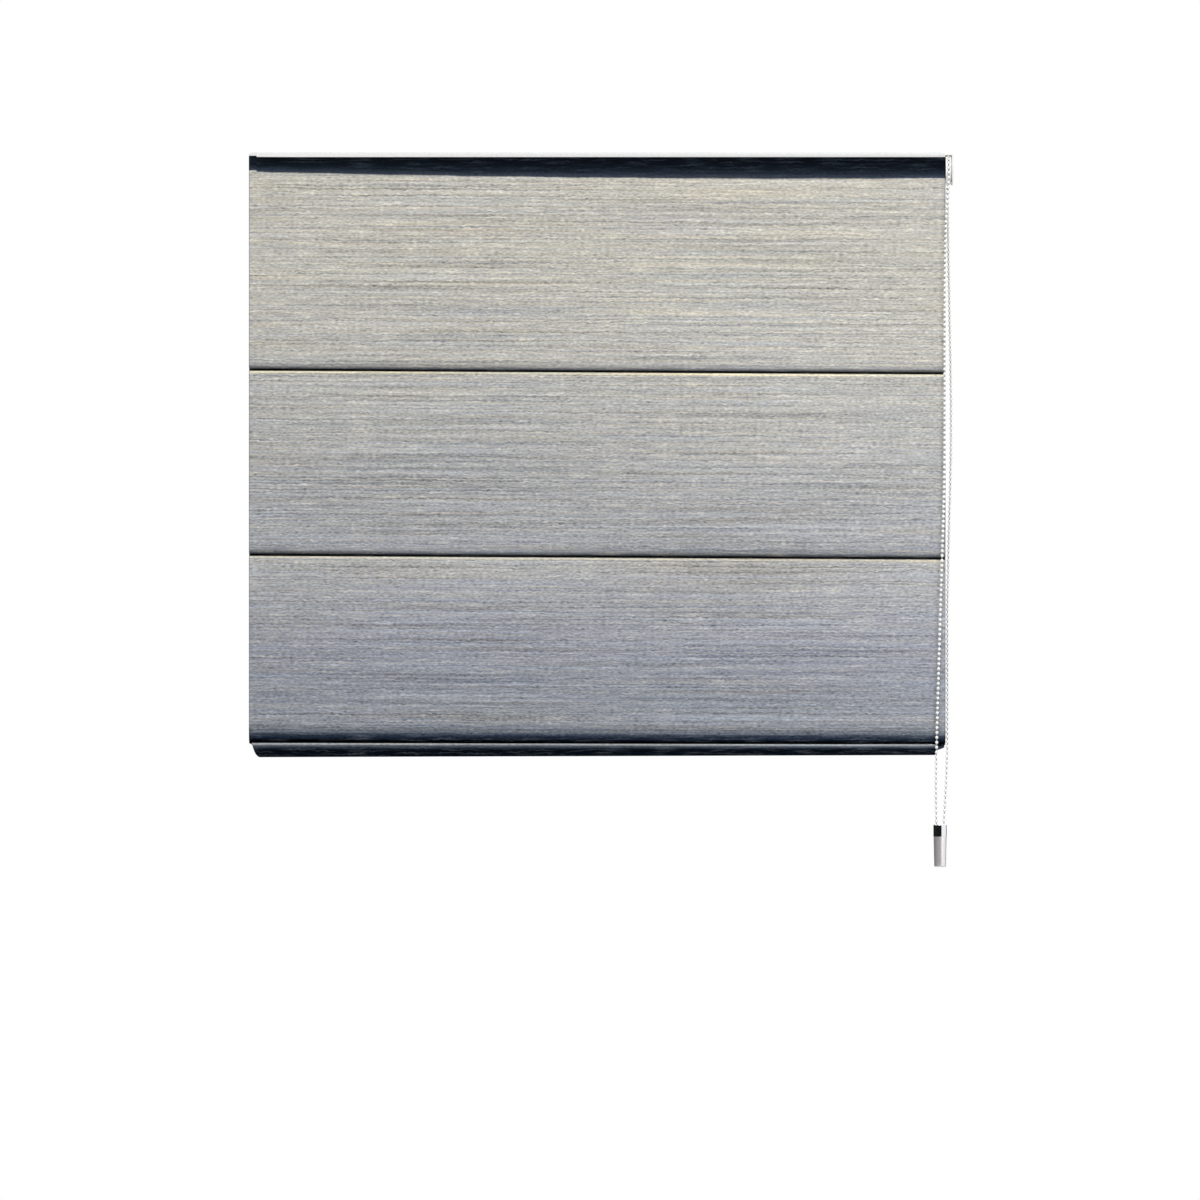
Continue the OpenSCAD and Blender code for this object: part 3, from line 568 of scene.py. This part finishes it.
def crease(cloth, level, lip, fold, front):
    """A panel's foot curving under into its crease, and the round edge of the panel below."""
    turn = cloth.fold_radius
    lip_top = level + turn + cloth.lip_height
    edge = front + cloth.shoulder_depth
    edge_foot = level - turn - cloth.shoulder_height
    return (
        arc((fold, lip_top), fold - lip, cloth.lip_height, 180, 270, 12)
        + arc((fold, level), turn, turn, 90, -90, 8)[1:]
        + arc((edge, edge_foot), cloth.shoulder_depth, cloth.shoulder_height, 90, 180, 8)
    )


class BLIND_OT_face_cloth(bpy.types.Operator):
    """Hangs the face cloth: three panels with a crease at the foot of each of the first two"""
    bl_idname = "blind.face_cloth"
    bl_label = "Face Cloth"

    # Forward and upward parts of the direction along which a raised half panel folds
    fold_axis = (-0.4560, 0.8899)

    # Rows of cells down half a panel
    half_steps = 12

    def add(self, cloth, material, name, rows, body):
        mesh = swept_cloth(name, rows, [(-HALF_W, HALF_W)] * len(rows), hang(cloth))
        piece = add_piece(name, mesh, material, body, "grey_cloth", "face_fabric")
        return piece

    def fold(self, cloth, piece, anchor, up, keep):
        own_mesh(piece)

    def execute(self, context):
        cloth = context.scene.blind_cloth
        material = face_linen(cloth)
        front = BAND_HIGH[1] + cloth.thickness / 2
        lip = CLOTH_LOW[1] + cloth.thickness / 2
        fold = CLOTH_HIGH[1] - cloth.thickness / 2 - cloth.fold_radius
        upper = crease(cloth, UPPER_CREASE - cloth.crease_sag, lip, fold, front)
        lower = crease(cloth, LOWER_CREASE - cloth.crease_sag, lip, fold, front)
        head = run(straight((front, CLOTH_HIGH[2]), (front, BAND_LOW[2]), 6))
        pieces = [self.add(cloth, material, "heading_cloth", head, "rail")]
        bodies = ("rail", "upper_batten", "lower_batten", "bottom")
        rises = (0, RATIO["upper_lift"], RATIO["lower_lift"], 1)
        feet = (upper[0], lower[0], (lip, HEM_HIGH[2]))
        creases = (upper, lower, None)
        top = (front, BAND_LOW[2])
        down = head[-1][2]
        half = self.half_steps
        for i, name in enumerate(("upper", "middle", "lower")):
            panel = run(straight(top, feet[i], 2 * half), down)
            first = self.add(cloth, material, name + "_panel_head", panel[:half + 1], bodies[i])
            second = self.add(cloth, material, name + "_panel_foot", panel[half:], bodies[i + 1])
            # The share of each half that would let the halves meet at their fold when the panel's foot is
            # raised; fold only gives each half a mesh of its own
            raised = (rises[i + 1] - rises[i]) * LIFT
            keep = 1 - raised / (self.fold_axis[1] ** 2 * (top[1] - feet[i][1]))
            self.fold(cloth, first, top, 1, keep)
            self.fold(cloth, second, feet[i], -1, keep)
            pieces += [first, second]
            down = panel[-1][2]
            if creases[i]:
                rows = run(creases[i], down)
                # The crease's linen carries painted shade in the fold and a painted highlight on the edge
                # under it
                shaded_linen = crease_linen(cloth, name, (down, rows[-1][2]))
                pieces.append(self.add(cloth, shaded_linen, name + "_crease", rows, bodies[i + 1]))
                top = creases[i][-1]
                down = rows[-1][2]
        for piece in pieces:
            thicken(piece, cloth.thickness)
        return {"FINISHED"}


class BLIND_OT_heading(bpy.types.Operator):
    """Lays the navy band, a painted shade over the head of the cloth, its lower edge falling towards the
    chain side
    """
    bl_idname = "blind.heading"
    bl_label = "Heading Band"

    # The lower edge, where the band's painted shade ends, in millimetres: its drop at the middle, its fall to
    # the chain side and its bow
    edge_drop = 1.3
    edge_fall = 4.1
    edge_bow = 3.2

    # Unevenness of the lower edge: height in millimetres, metres across for a radian, and start
    edge_waves = ((0.2, 0.019, 0), (0.15, 0.0073, 2))

    # In millimetres: rise of the top edge, rise of the left end beyond a small step, and the step's place
    top_rise = 0.5
    step_rise = 1.6
    step_sides = (9.2, 9.7)

    def execute(self, context):
        level = (BAND_LOW[1] + BAND_HIGH[1]) / 2
        top, foot = BAND_HIGH[2], BAND_LOW[2]
        outer, inner = [side * MM - HALF_W for side in self.step_sides]

        def place(x, y, z):
            side = x / HALF_W
            low = share(z, top, foot)
            edge = self.edge_bow * side ** 2 - self.edge_fall * side - self.edge_drop
            edge += sum(height * math.sin(x / across + start) for height, across, start in self.edge_waves)
            step = self.step_rise * share(x, inner, outer)
            return Vector((x, y, z + (edge * low + self.top_rise * (1 - low) + step) * MM))

        rows = run(straight((level, top), (level, foot), 10))
        spans = [(-HALF_W, HALF_W)] * len(rows)
        mesh = swept_cloth("heading_band_cloth", rows, spans, place, breaks=(outer, inner))
        piece = add_piece("heading_band_cloth", mesh, band_linen(), "rail", "navy_cloth", "heading_band")
        thicken(piece, BAND_HIGH[1] - BAND_LOW[1])
        return {"FINISHED"}


class BLIND_OT_hem(bpy.types.Operator):
    """Rolls the cloth's foot under and wraps it round the bottom bar, with slanted ends"""
    bl_idname = "blind.hem"
    bl_label = "Hem"

    # Straight cloth above the roll, radius of the fold over the bar, play round the bar and the round edge
    # that carries the painted highlight
    lead = 1.0 * MM
    turn = 1.2 * MM
    play = 0.4 * MM
    edge_depth = 1.5 * MM
    edge_height = 1.8 * MM

    # The foot in millimetres: its rise towards the chain side, and its drop
    foot_rise = 1.4
    foot_drop = 0.3

    # Insets of the hem's ends in millimetres: at its fold, gained down its slant, at its foot and of its
    # flap, with the shares of its height between which the flap rounds off
    left_end = (2.6, 6.3, 13.4, 0.9, 0.1, 0.34)
    right_end = (9.5, 1.8, 13.5, 1.2, 0.3, 0.62)

    # Powers that round off the flap and the slant's corner
    flap_power = 1.6
    corner_power = 8

    def inset(self, end, low, behind):
        """Inset at a height: a slant with a rounded corner in front, and a flap that shows behind it."""
        top, slant, foot, flap, start, stop = end
        if behind:
            return flap + (foot - flap) * share(low, start, stop) ** self.flap_power
        return top + slant * low + (foot - top - slant) * low ** self.corner_power

    def execute(self, context):
        cloth = context.scene.blind_cloth
        half = cloth.thickness / 2
        turn = self.turn
        lip = HEM_LOW[1] + half
        fold = HEM_HIGH[1] - half - turn
        bar_low, bar_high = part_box("bottom_bar")
        bar_y = (bar_low[1] + bar_high[1]) / 2
        wrap = (bar_high[1] - bar_low[1]) / 2 + self.play + half
        level = bar_high[2] + self.play + self.edge_height + turn - cloth.hem_sag
        roll_top = HEM_HIGH[2] - self.lead
        edge = bar_y - wrap
        edge_foot = level - turn - self.edge_height
        foot = HEM_LOW[2] + half + wrap
        roll = (
            straight((lip, HEM_HIGH[2]), (lip, roll_top), 2)
            + arc((fold, roll_top), fold - lip, roll_top - level - turn, 180, 270, 16)[1:]
            + arc((fold, level), turn, turn, 90, -90, 8)[1:]
        )
        wrapped = (
            arc((edge + self.edge_depth, edge_foot), self.edge_depth, self.edge_height, 90, 180, 8)
            + straight((edge, edge_foot), (edge, foot), 8)[1:]
            + arc((bar_y, foot), wrap, wrap, 180, 360, 12)[1:]
            + straight((bar_y + wrap, foot), (bar_y + wrap, level - turn - half), 14)[1:]
        )
        spans = [(-HALF_W, HALF_W)] * len(roll)
        for y, z in wrapped:
            low = share(z, level, HEM_LOW[2])
            left, right = [self.inset(end, low, y > bar_y) for end in (self.left_end, self.right_end)]
            spans.append((left * MM - HALF_W, HALF_W - right * MM))

        def place(x, y, z):
            low = share(z, level, HEM_LOW[2])
            rolled = share(z, HEM_HIGH[2], level)
            slope = cloth.crease_slope + (cloth.hem_slope - cloth.crease_slope) * rolled
            shift = (self.foot_rise * x / HALF_W - self.foot_drop) * MM
            return Vector((x, y, z + slope * x * (1 - low) + shift * low))

        rows = run(roll + wrapped)
        mesh = swept_cloth("hem_cloth", rows, spans, place)
        piece = add_piece("hem_cloth", mesh, hem_linen(), "bottom", "navy_cloth", "hem")
        thicken(piece, cloth.thickness)
        return {"FINISHED"}


def spline(points, step):
    """Points along a smooth curve through the given ones, about a step apart."""
    points = [Vector(p) for p in points]
    ends = [2 * points[0] - points[1], *points, 2 * points[-1] - points[-2]]
    path = []
    for a, b, c, d in zip(ends, ends[1:], ends[2:], ends[3:]):
        count = max(1, round((c - b).length / step))
        for i in range(count):
            t = i / count
            path.append(0.5 * (2 * b + (c - a) * t + (2 * a - 5 * b + 4 * c - d) * t * t
                               + (3 * b - a - 3 * c + d) * t ** 3))
    return [*path, points[-1]]


def tube(name, path, radius, sides=10):
    """A closed tube along a path, with a UV map of metres along it and turns round it."""
    bm = bmesh.new()
    layer = bm.loops.layers.uv.new("cord")
    along = lengths(path)
    angles = [2 * math.pi * k / sides for k in range(sides)]
    side = (path[1] - path[0]).normalized().orthogonal().normalized()
    rings = []
    for i, point in enumerate(path):
        ahead = (path[min(i + 1, len(path) - 1)] - path[max(i - 1, 0)]).normalized()
        side = (side - side.dot(ahead) * ahead).normalized()
        other = ahead.cross(side)
        spokes = [math.cos(a) * side + math.sin(a) * other for a in angles]
        rings.append([bm.verts.new(point + radius * spoke) for spoke in spokes])
    for i in range(len(path) - 1):
        for k in range(sides):
            m = (k + 1) % sides
            face = bm.faces.new((rings[i][k], rings[i][m], rings[i + 1][m], rings[i + 1][k]))
            corners = ((i, k), (i, k + 1), (i + 1, k + 1), (i + 1, k))
            for loop, (j, n) in zip(face.loops, corners):
                loop[layer].uv = (along[j], n / sides)
    bm.faces.new(rings[0][::-1])
    bm.faces.new(rings[-1])
    mesh = bpy.data.meshes.new(name)
    bm.to_mesh(mesh)
    bm.free()
    smooth(mesh, 60)
    return mesh


def polyline(name, path, closed):
    """A mesh of edges along a path, for a node tree to work on."""
    mesh = bpy.data.meshes.new(name)
    count = len(path)
    edges = [(i, (i + 1) % count) for i in range(count if closed else count - 1)]
    mesh.from_pydata([tuple(p) for p in path], edges, [])
    return mesh


def row_tree(name, by_count):
    """A node tree that sets like grains along a line of edges, by their count or by their pitch."""
    tree = bpy.data.node_groups.new(name, "GeometryNodeTree")
    step = {"Count": "Int"} if by_count else {"Pitch": "Float"}
    sockets = {"Line": "Geometry", **step, "Size": "Vector", "Finish": "Material"}
    for socket, kind in sockets.items():
        tree.interface.new_socket(socket, in_out="INPUT", socket_type="NodeSocket" + kind)
    tree.interface.new_socket("Grains", in_out="OUTPUT", socket_type="NodeSocketGeometry")
    given = add_node(tree, "NodeGroupInput").outputs
    curve = add_node(tree, "GeometryNodeMeshToCurve", {"Mesh": given["Line"]})
    spacing = {"Count": given["Count"]} if by_count else {"Length": given["Pitch"]}
    evened = add_node(tree, "GeometryNodeResampleCurve", {"Curve": curve.outputs[0], **spacing},
                      mode="COUNT" if by_count else "LENGTH")
    grain = add_node(tree, "GeometryNodeMeshIcoSphere", {"Radius": 0.5, "Subdivisions": 2})
    placed = add_node(tree, "GeometryNodeInstanceOnPoints",
                      {"Points": evened.outputs[0], "Instance": grain.outputs[0], "Scale": given["Size"]})
    real = add_node(tree, "GeometryNodeRealizeInstances", {"Geometry": placed.outputs[0]})
    soft = add_node(tree, "GeometryNodeSetShadeSmooth", {"Geometry": real.outputs[0]})
    coated = add_node(tree, "GeometryNodeSetMaterial",
                      {"Geometry": soft.outputs[0], "Material": given["Finish"]})
    add_node(tree, "NodeGroupOutput", {"Grains": coated.outputs[0]})
    return tree


def grains(name, tree, line, **values):
    """The plain mesh that a row tree makes along a line."""
    maker = add_object(name, line)
    row = maker.modifiers.new("row", "NODES")
    row.node_group = tree
    for item in tree.interface.items_tree:
        if item.in_out == "INPUT" and item.name in values:
            row[item.identifier] = values[item.name]
    graph = bpy.context.evaluated_depsgraph_get()
    mesh = bpy.data.meshes.new_from_object(maker.evaluated_get(graph), depsgraph=graph)
    bpy.data.objects.remove(maker)
    return mesh


# The chain's route in millimetres from the sprocket's middle, as its solids follow it
FRONT_STRAND = (
    (0, -16.3, -14), (-3, -16.5, -60), (-4.3, -16.6, -120), (-4.8, -16.6, -190), (-4.8, -16.6, -260),
    (-4.9, -16.6, -330), (-5.9, -16.6, -400), (-7.7, -16.6, -460), (-9.9, -16.6, -530), (-12, -16.6, -600),
    (-13.8, -16.6, -660), (-14.9, -16.6, -710), (-15.5, -16.6, -756), (-15.1, -16.6, -796))
BACK_STRAND = (
    (-5.9, -16.6, -796), (-4.3, -15.5, -772), (-2.7, -13.4, -742), (-1.4, -10, -706), (-0.9, -6.1, -660),
    (-0.8, -1, -590), (-0.4, 2.4, -528), (1, 5.7, -458), (3.2, 8.7, -386), (4.1, 10.7, -330),
    (4.1, 12.2, -272), (3.2, 13.5, -216), (1.9, 14.8, -146), (0.7, 15.7, -80))
TURN_MIDDLE = (-10.5, -16.6, -818)
TURN_RADIUS = 4.6
PITCH_RADIUS = 16.234


def chain_route():
    """The free part of the chain from the front of the sprocket to its rear, and the part over its top."""
    point_gap = 4 * MM
    wrap = PITCH_RADIUS * MM
    hub = Vector((middle("sprocket").x, SHAFT.y, SHAFT.z))
    over = [Vector((hub.x, *point)) for point in arc(hub.yz, wrap, wrap, 0, 180, 36)]
    x, y, z = TURN_MIDDLE
    turn = [(side, y, down) for side, down in arc((x, z), TURN_RADIUS, TURN_RADIUS, 180, 360, 8)]
    hung = [hub + MM * Vector(p) for p in (*FRONT_STRAND, *turn, *BACK_STRAND)]
    return spline([over[-1], *hung, over[0]], point_gap), over


class BLIND_OT_chain(bpy.types.Operator):
    """Strings the bead chain over the sprocket and through its weight"""
    bl_idname = "blind.chain"
    bl_label = "Bead Chain"

    def execute(self, context):
        chain = context.scene.blind_chain
        free, over = chain_route()
        # Twisted polyester thread: grey, with the lay of its strands just showing
        twisted = braid("twisted_polyester_thread", "#A3A5A4", 1.6)
        radius = chain.thread_diameter / 2
        thread = add_piece("chain_thread", tube("chain_thread", free, radius), twisted,
                           "rail", "lift_cord", "chain_cord")
        add_piece("sprocket_thread", tube("sprocket_thread", over, radius), twisted,
                  "rail", "lift_cord", "chain_cord")
        # Acetal: glossy white, a little translucent
        acetal = grained("moulded_white_acetal", chain.bead_colour, 0.26, (1.5, 1.5, 1.5), 0.01, 0.05,
                         "#EEEEEB", Subsurface_Weight=0.2, Subsurface_Radius=(1, 1, 1),
                         Subsurface_Scale=1.0 * MM)
        top = len(over) // 2
        loop = [*over[top:-1], *free[:-1], *over[:top]]
        length = lengths([*loop, loop[0]])[-1]
        mesh = grains("bead_row", row_tree("bead row", True), polyline("bead_line", loop, True),
                      Count=round(length / chain.bead_pitch), Size=[chain.bead_diameter] * 3, Finish=acetal)
        beads = add_piece("chain_bead_row", mesh, acetal, "rail", "bead_plastic", "chain_beads")
        return {"FINISHED"}


class BLIND_OT_lift_cords(bpy.types.Operator):
    """Runs the three lift cords from their spools to the hem, with the turns left on each spool"""
    bl_idname = "blind.lift_cords"
    bl_label = "Lift Cords"

    cord_sides = 8
    drop_steps = 60
    coil_steps = 24

    # Distance from turn to turn on a spool, as a share of the cord's diameter
    coil_pitch = 1.05

    def execute(self, context):
        lift = context.scene.blind_lift
        # Braided polyester cord: off-white, with strands that cross
        finish = braid("braided_polyester_cord", lift.cord_colour, 2.2)
        radius = lift.cord_diameter / 2
        for side in ("left", "middle", "right"):
            node = side + "_lift_cord"
            low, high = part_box(node)
            x, y = middle(node).xy
            drop = straight((x, y, high[2]), (x, y, low[2]), self.drop_steps)
            line = tube(node + "_tube", [Vector(point) for point in drop], radius, self.cord_sides)
            cord = add_piece(side + "_cord_line", line, finish, "rail", "lift_cord", node)
            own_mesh(cord)
            wind = y - SHAFT.y
            rounds = arc(SHAFT.yz, wind, wind, 0, 360 * lift.turns, self.coil_steps * lift.turns)
            step = self.coil_pitch * lift.cord_diameter / self.coil_steps
            coil = [Vector((x - step * i, *point)) for i, point in enumerate(rounds)]
            turns = tube(side + "_cord_turns", coil, radius, self.cord_sides)
            add_piece(side + "_cord_turns", turns, finish, "drive", "lift_cord")
        return {"FINISHED"}


class BLIND_OT_stitching(bpy.types.Operator):
    """Sews the batten tapes to the cloth with rows of stitches"""
    bl_idname = "blind.stitching"
    bl_label = "Stitching"

    # Depth of the seams behind the tape's front, and their insets from its ends and edges
    seam_depth = 0.6 * MM
    end_inset = 6 * MM
    edge_inset = 1.5 * MM

    def row(self, sewing, tree, thread, name, ends, body):
        line = polyline(name + "_line", ends, False)
        size = (sewing.length, sewing.width, sewing.width)
        mesh = grains(name + "_row", tree, line, Pitch=sewing.pitch, Size=size, Finish=thread)
        add_piece(name, mesh, thread, body, "heading_tape")

    def execute(self, context):
        sewing = context.scene.blind_stitching
        tree = row_tree("stitch row", False)
        # Spun polyester sewing thread: matt, with a fine twist
        thread, nodes, shader = new_finish("spun_sewing_thread", sewing.colour, 0.7, Sheen_Weight=0.1)
        twist = add_node(nodes, "ShaderNodeTexNoise",
                         {"Vector": millimetres(nodes, "Object", (0.8, 0.4, 0.4)), "Scale": 1.0})
        bump = add_node(nodes, "ShaderNodeBump",
                        {"Height": twist.outputs["Fac"], "Strength": 0.4, "Distance": 0.1 * MM})
        nodes.links.new(bump.outputs["Normal"], shader.inputs["Normal"])
        for level in ("upper", "lower"):
            low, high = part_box(level + "_rod_pocket")
            y = low[1] + self.seam_depth
            reach = high[0] - self.end_inset
            for edge, z in (("head", high[2] - self.edge_inset), ("foot", low[2] + self.edge_inset)):
                name = level + "_tape_" + edge + "_stitches"
                self.row(sewing, tree, thread, name, ((-reach, y, z), (reach, y, z)), level + "_batten")
        return {"FINISHED"}


class BLIND_OT_fittings(bpy.types.Operator):
    """Finishes the rigid pieces: eased edges, smooth turned faces and a material for each"""
    bl_idname = "blind.fittings"
    bl_label = "Fittings"

    # Gap below which corners are one, and angle below which facets are one face
    merge_gap = 0.002 * MM
    facet_angle = math.radians(0.5)

    # Width of an eased edge, angle from which an edge is eased, and the nodes too fine for it
    ease_width = 0.2 * MM
    ease_angle = math.radians(40)
    plain = ("cover_screws", "brake_spring")

    def execute(self, context):
        finishes = rigid_finishes()
        for node, source in frame["nodes"].items():
            slot = SLOT_OF[node]
            if slot not in finishes:
                continue
            bm = bmesh.new()
            bm.from_mesh(source.data)
            bmesh.ops.remove_doubles(bm, verts=bm.verts, dist=self.merge_gap)
            bmesh.ops.dissolve_limit(bm, angle_limit=self.facet_angle, verts=bm.verts, edges=bm.edges)
            mesh = bpy.data.meshes.new(node + "_dressed")
            bm.to_mesh(mesh)
            bm.free()
            if "custom_normal" in mesh.attributes:
                mesh.attributes.remove(mesh.attributes["custom_normal"])
            smooth(mesh)
            name = WEIGHT_PIECES.get(node, node + "_finish")
            piece = add_piece(name, mesh, finishes[slot], source["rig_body"], slot, node)
            if node not in self.plain:
                ease = piece.modifiers.new("eased edges", "BEVEL")
                ease.width = self.ease_width
                ease.segments = 2
                ease.limit_method = "ANGLE"
                ease.angle_limit = self.ease_angle
        return {"FINISHED"}


class BLIND_OT_stage(bpy.types.Operator):
    """Sets the floor, the soft lamps, the white surround and the camera"""
    bl_idname = "blind.stage"
    bl_label = "Stage"

    # Lamps: place, target and size in metres, and share of the main lamp's power
    lamps = {
        "key": ((-0.5, -2.6, 2.3), (0, 0, -0.36), (2.4, 1.6), 1.0),
        "fill": ((2.2, -2.6, 0.2), (0, 0, -0.36), (1.6, 1.6), 0.12),
        "side": ((0.85, -0.55, -0.45), (0.3, 0, -0.45), (0.3, 0.5), 0.016),
        "back": ((0.4, 2.6, 1.2), (0, 0, -0.36), (2.4, 1.6), 0.5),
    }

    # Dark cards round the chain weight: the angles in degrees between which they stand, from the right
    flags = {"wide_flag": (-262, -68), "edge_flag": (28, 56)}
    flag_distance = 2.0
    flag_half_height = 1.2
    flag_steps = 24

    floor_drop = 0.62
    floor_reach = 2.2

    # The middle of the view, across and up
    view_middle = (3.4 * MM, -529.6 * MM)

    def lamp(self, name, place, target, size, power):
        light = bpy.data.lights.new(name, "AREA")
        light.shape = "RECTANGLE"
        light.size, light.size_y = size
        light.energy = power
        lamp = add_object(name, light)
        lamp.visible_camera = False
        lamp.location = place
        lamp.rotation_euler = (Vector(target) - Vector(place)).to_track_quat("-Z", "Y").to_euler()

    def board(self, name, verts, faces, material):
        """A plain board of the stage"""
        mesh = bpy.data.meshes.new(name)
        mesh.from_pydata(verts, [], faces)
        mesh.materials.append(material)
        board = add_object(name, mesh)
        return board

    def floor(self):
        # Matt painted board: pale and even
        matt, _, _ = new_finish("pale_painted_board", "#E9E9E8", 0.8)
        level = CAD_BOX[0][2] - self.floor_drop
        reach = self.floor_reach
        corners = ((-reach, -reach), (reach, -reach), (reach, reach), (-reach, reach))
        self.board("floor", [(x, y, level) for x, y in corners], [(0, 1, 2, 3)], matt)

    def flag(self, name, start, end, felt):
        """A curved dark card, seen by polish alone"""
        x, y, z = middle("weight_cap")
        low, high = z - self.flag_half_height, z + self.flag_half_height
        rim = arc((x, y), self.flag_distance, self.flag_distance, start, end, self.flag_steps)
        verts = [(*point, level) for point in rim for level in (low, high)]
        faces = [(i, i + 2, i + 3, i + 1) for i in range(0, 2 * self.flag_steps, 2)]
        flag = self.board(name, verts, faces, felt)
        flag.visible_camera = False
        flag.visible_diffuse = False
        flag.visible_shadow = False

    def surround(self, stage):
        world = bpy.data.worlds.new("surround")
        bpy.context.scene.world = world
        world.use_nodes = True
        tree = world.node_tree
        background = tree.nodes["Background"]
        rays = add_node(tree, "ShaderNodeLightPath").outputs
        seen = rays["Is Camera Ray"]
        for ray in ("Is Glossy Ray", "Is Transmission Ray"):
            seen = add_node(tree, "ShaderNodeMath", {0: seen, 1: rays[ray]}, operation="MAXIMUM").outputs[0]
        power = add_node(tree, "ShaderNodeMapRange", {0: seen, 3: stage.ambient, 4: 1.0})
        background.inputs["Color"].default_value = (1, 1, 1, 1)
        tree.links.new(power.outputs[0], background.inputs["Strength"])

    def camera(self, stage):
        data = bpy.data.cameras.new("camera")
        data.sensor_width = 36
        data.lens = data.sensor_width * stage.view_distance / stage.view_width
        data.clip_end = 100
        camera = add_object("camera", data)
        x, z = self.view_middle
        camera.location = (x, BAND_LOW[1] - stage.view_distance, z)
        camera.rotation_euler = (math.radians(90), 0, 0)
        bpy.context.scene.camera = camera

    def execute(self, context):
        stage = context.scene.blind_stage
        context.scene.view_settings.view_transform = "Standard"
        self.surround(stage)
        self.floor()
        # Black felt: dark and matt
        felt, _, _ = new_finish("black_felt", "#050505", 0.95)
        for name, (start, end) in self.flags.items():
            self.flag(name, start, end, felt)
        for name, (place, target, size, power) in self.lamps.items():
            self.lamp(name, place, target, size, power * stage.key_strength)
        self.camera(stage)
        return {"FINISHED"}


class BLIND_PT_panel(bpy.types.Panel):
    """Lists the blind's pieces and their settings"""
    bl_idname = "BLIND_PT_panel"
    bl_label = "Roman Blind"
    bl_space_type = "VIEW_3D"
    bl_region_type = "UI"
    bl_category = "Blind"

    def draw(self, context):
        for operator in OPERATORS:
            self.layout.operator(operator.bl_idname)
        for name, settings in SETTINGS.items():
            box = self.layout.box()
            for prop in settings.__annotations__:
                box.prop(getattr(context.scene, name), prop)


SETTINGS = {
    "blind_cloth": ClothSettings,
    "blind_chain": ChainSettings,
    "blind_lift": LiftSettings,
    "blind_stitching": StitchSettings,
    "blind_stage": StageSettings,
}
OPERATORS = (
    BLIND_OT_stage, BLIND_OT_fittings, BLIND_OT_chain, BLIND_OT_lift_cords,
    BLIND_OT_face_cloth, BLIND_OT_heading, BLIND_OT_hem, BLIND_OT_stitching,
)


def register():
    for name, settings in SETTINGS.items():
        bpy.utils.register_class(settings)
        setattr(bpy.types.Scene, name, PointerProperty(type=settings))
    for kind in (*OPERATORS, BLIND_PT_panel):
        bpy.utils.register_class(kind)


def unregister():
    for kind in (BLIND_PT_panel, *reversed(OPERATORS)):
        bpy.utils.unregister_class(kind)
    for name, settings in SETTINGS.items():
        delattr(bpy.types.Scene, name)
        bpy.utils.unregister_class(settings)


def main():
    register()
    bpy.ops.blind.stage()
    bpy.ops.blind.fittings()
    bpy.ops.blind.chain()
    bpy.ops.blind.lift_cords()
    bpy.ops.blind.face_cloth()
    bpy.ops.blind.heading()
    bpy.ops.blind.hem()
    bpy.ops.blind.stitching()


if __name__ == "__main__":
    main()
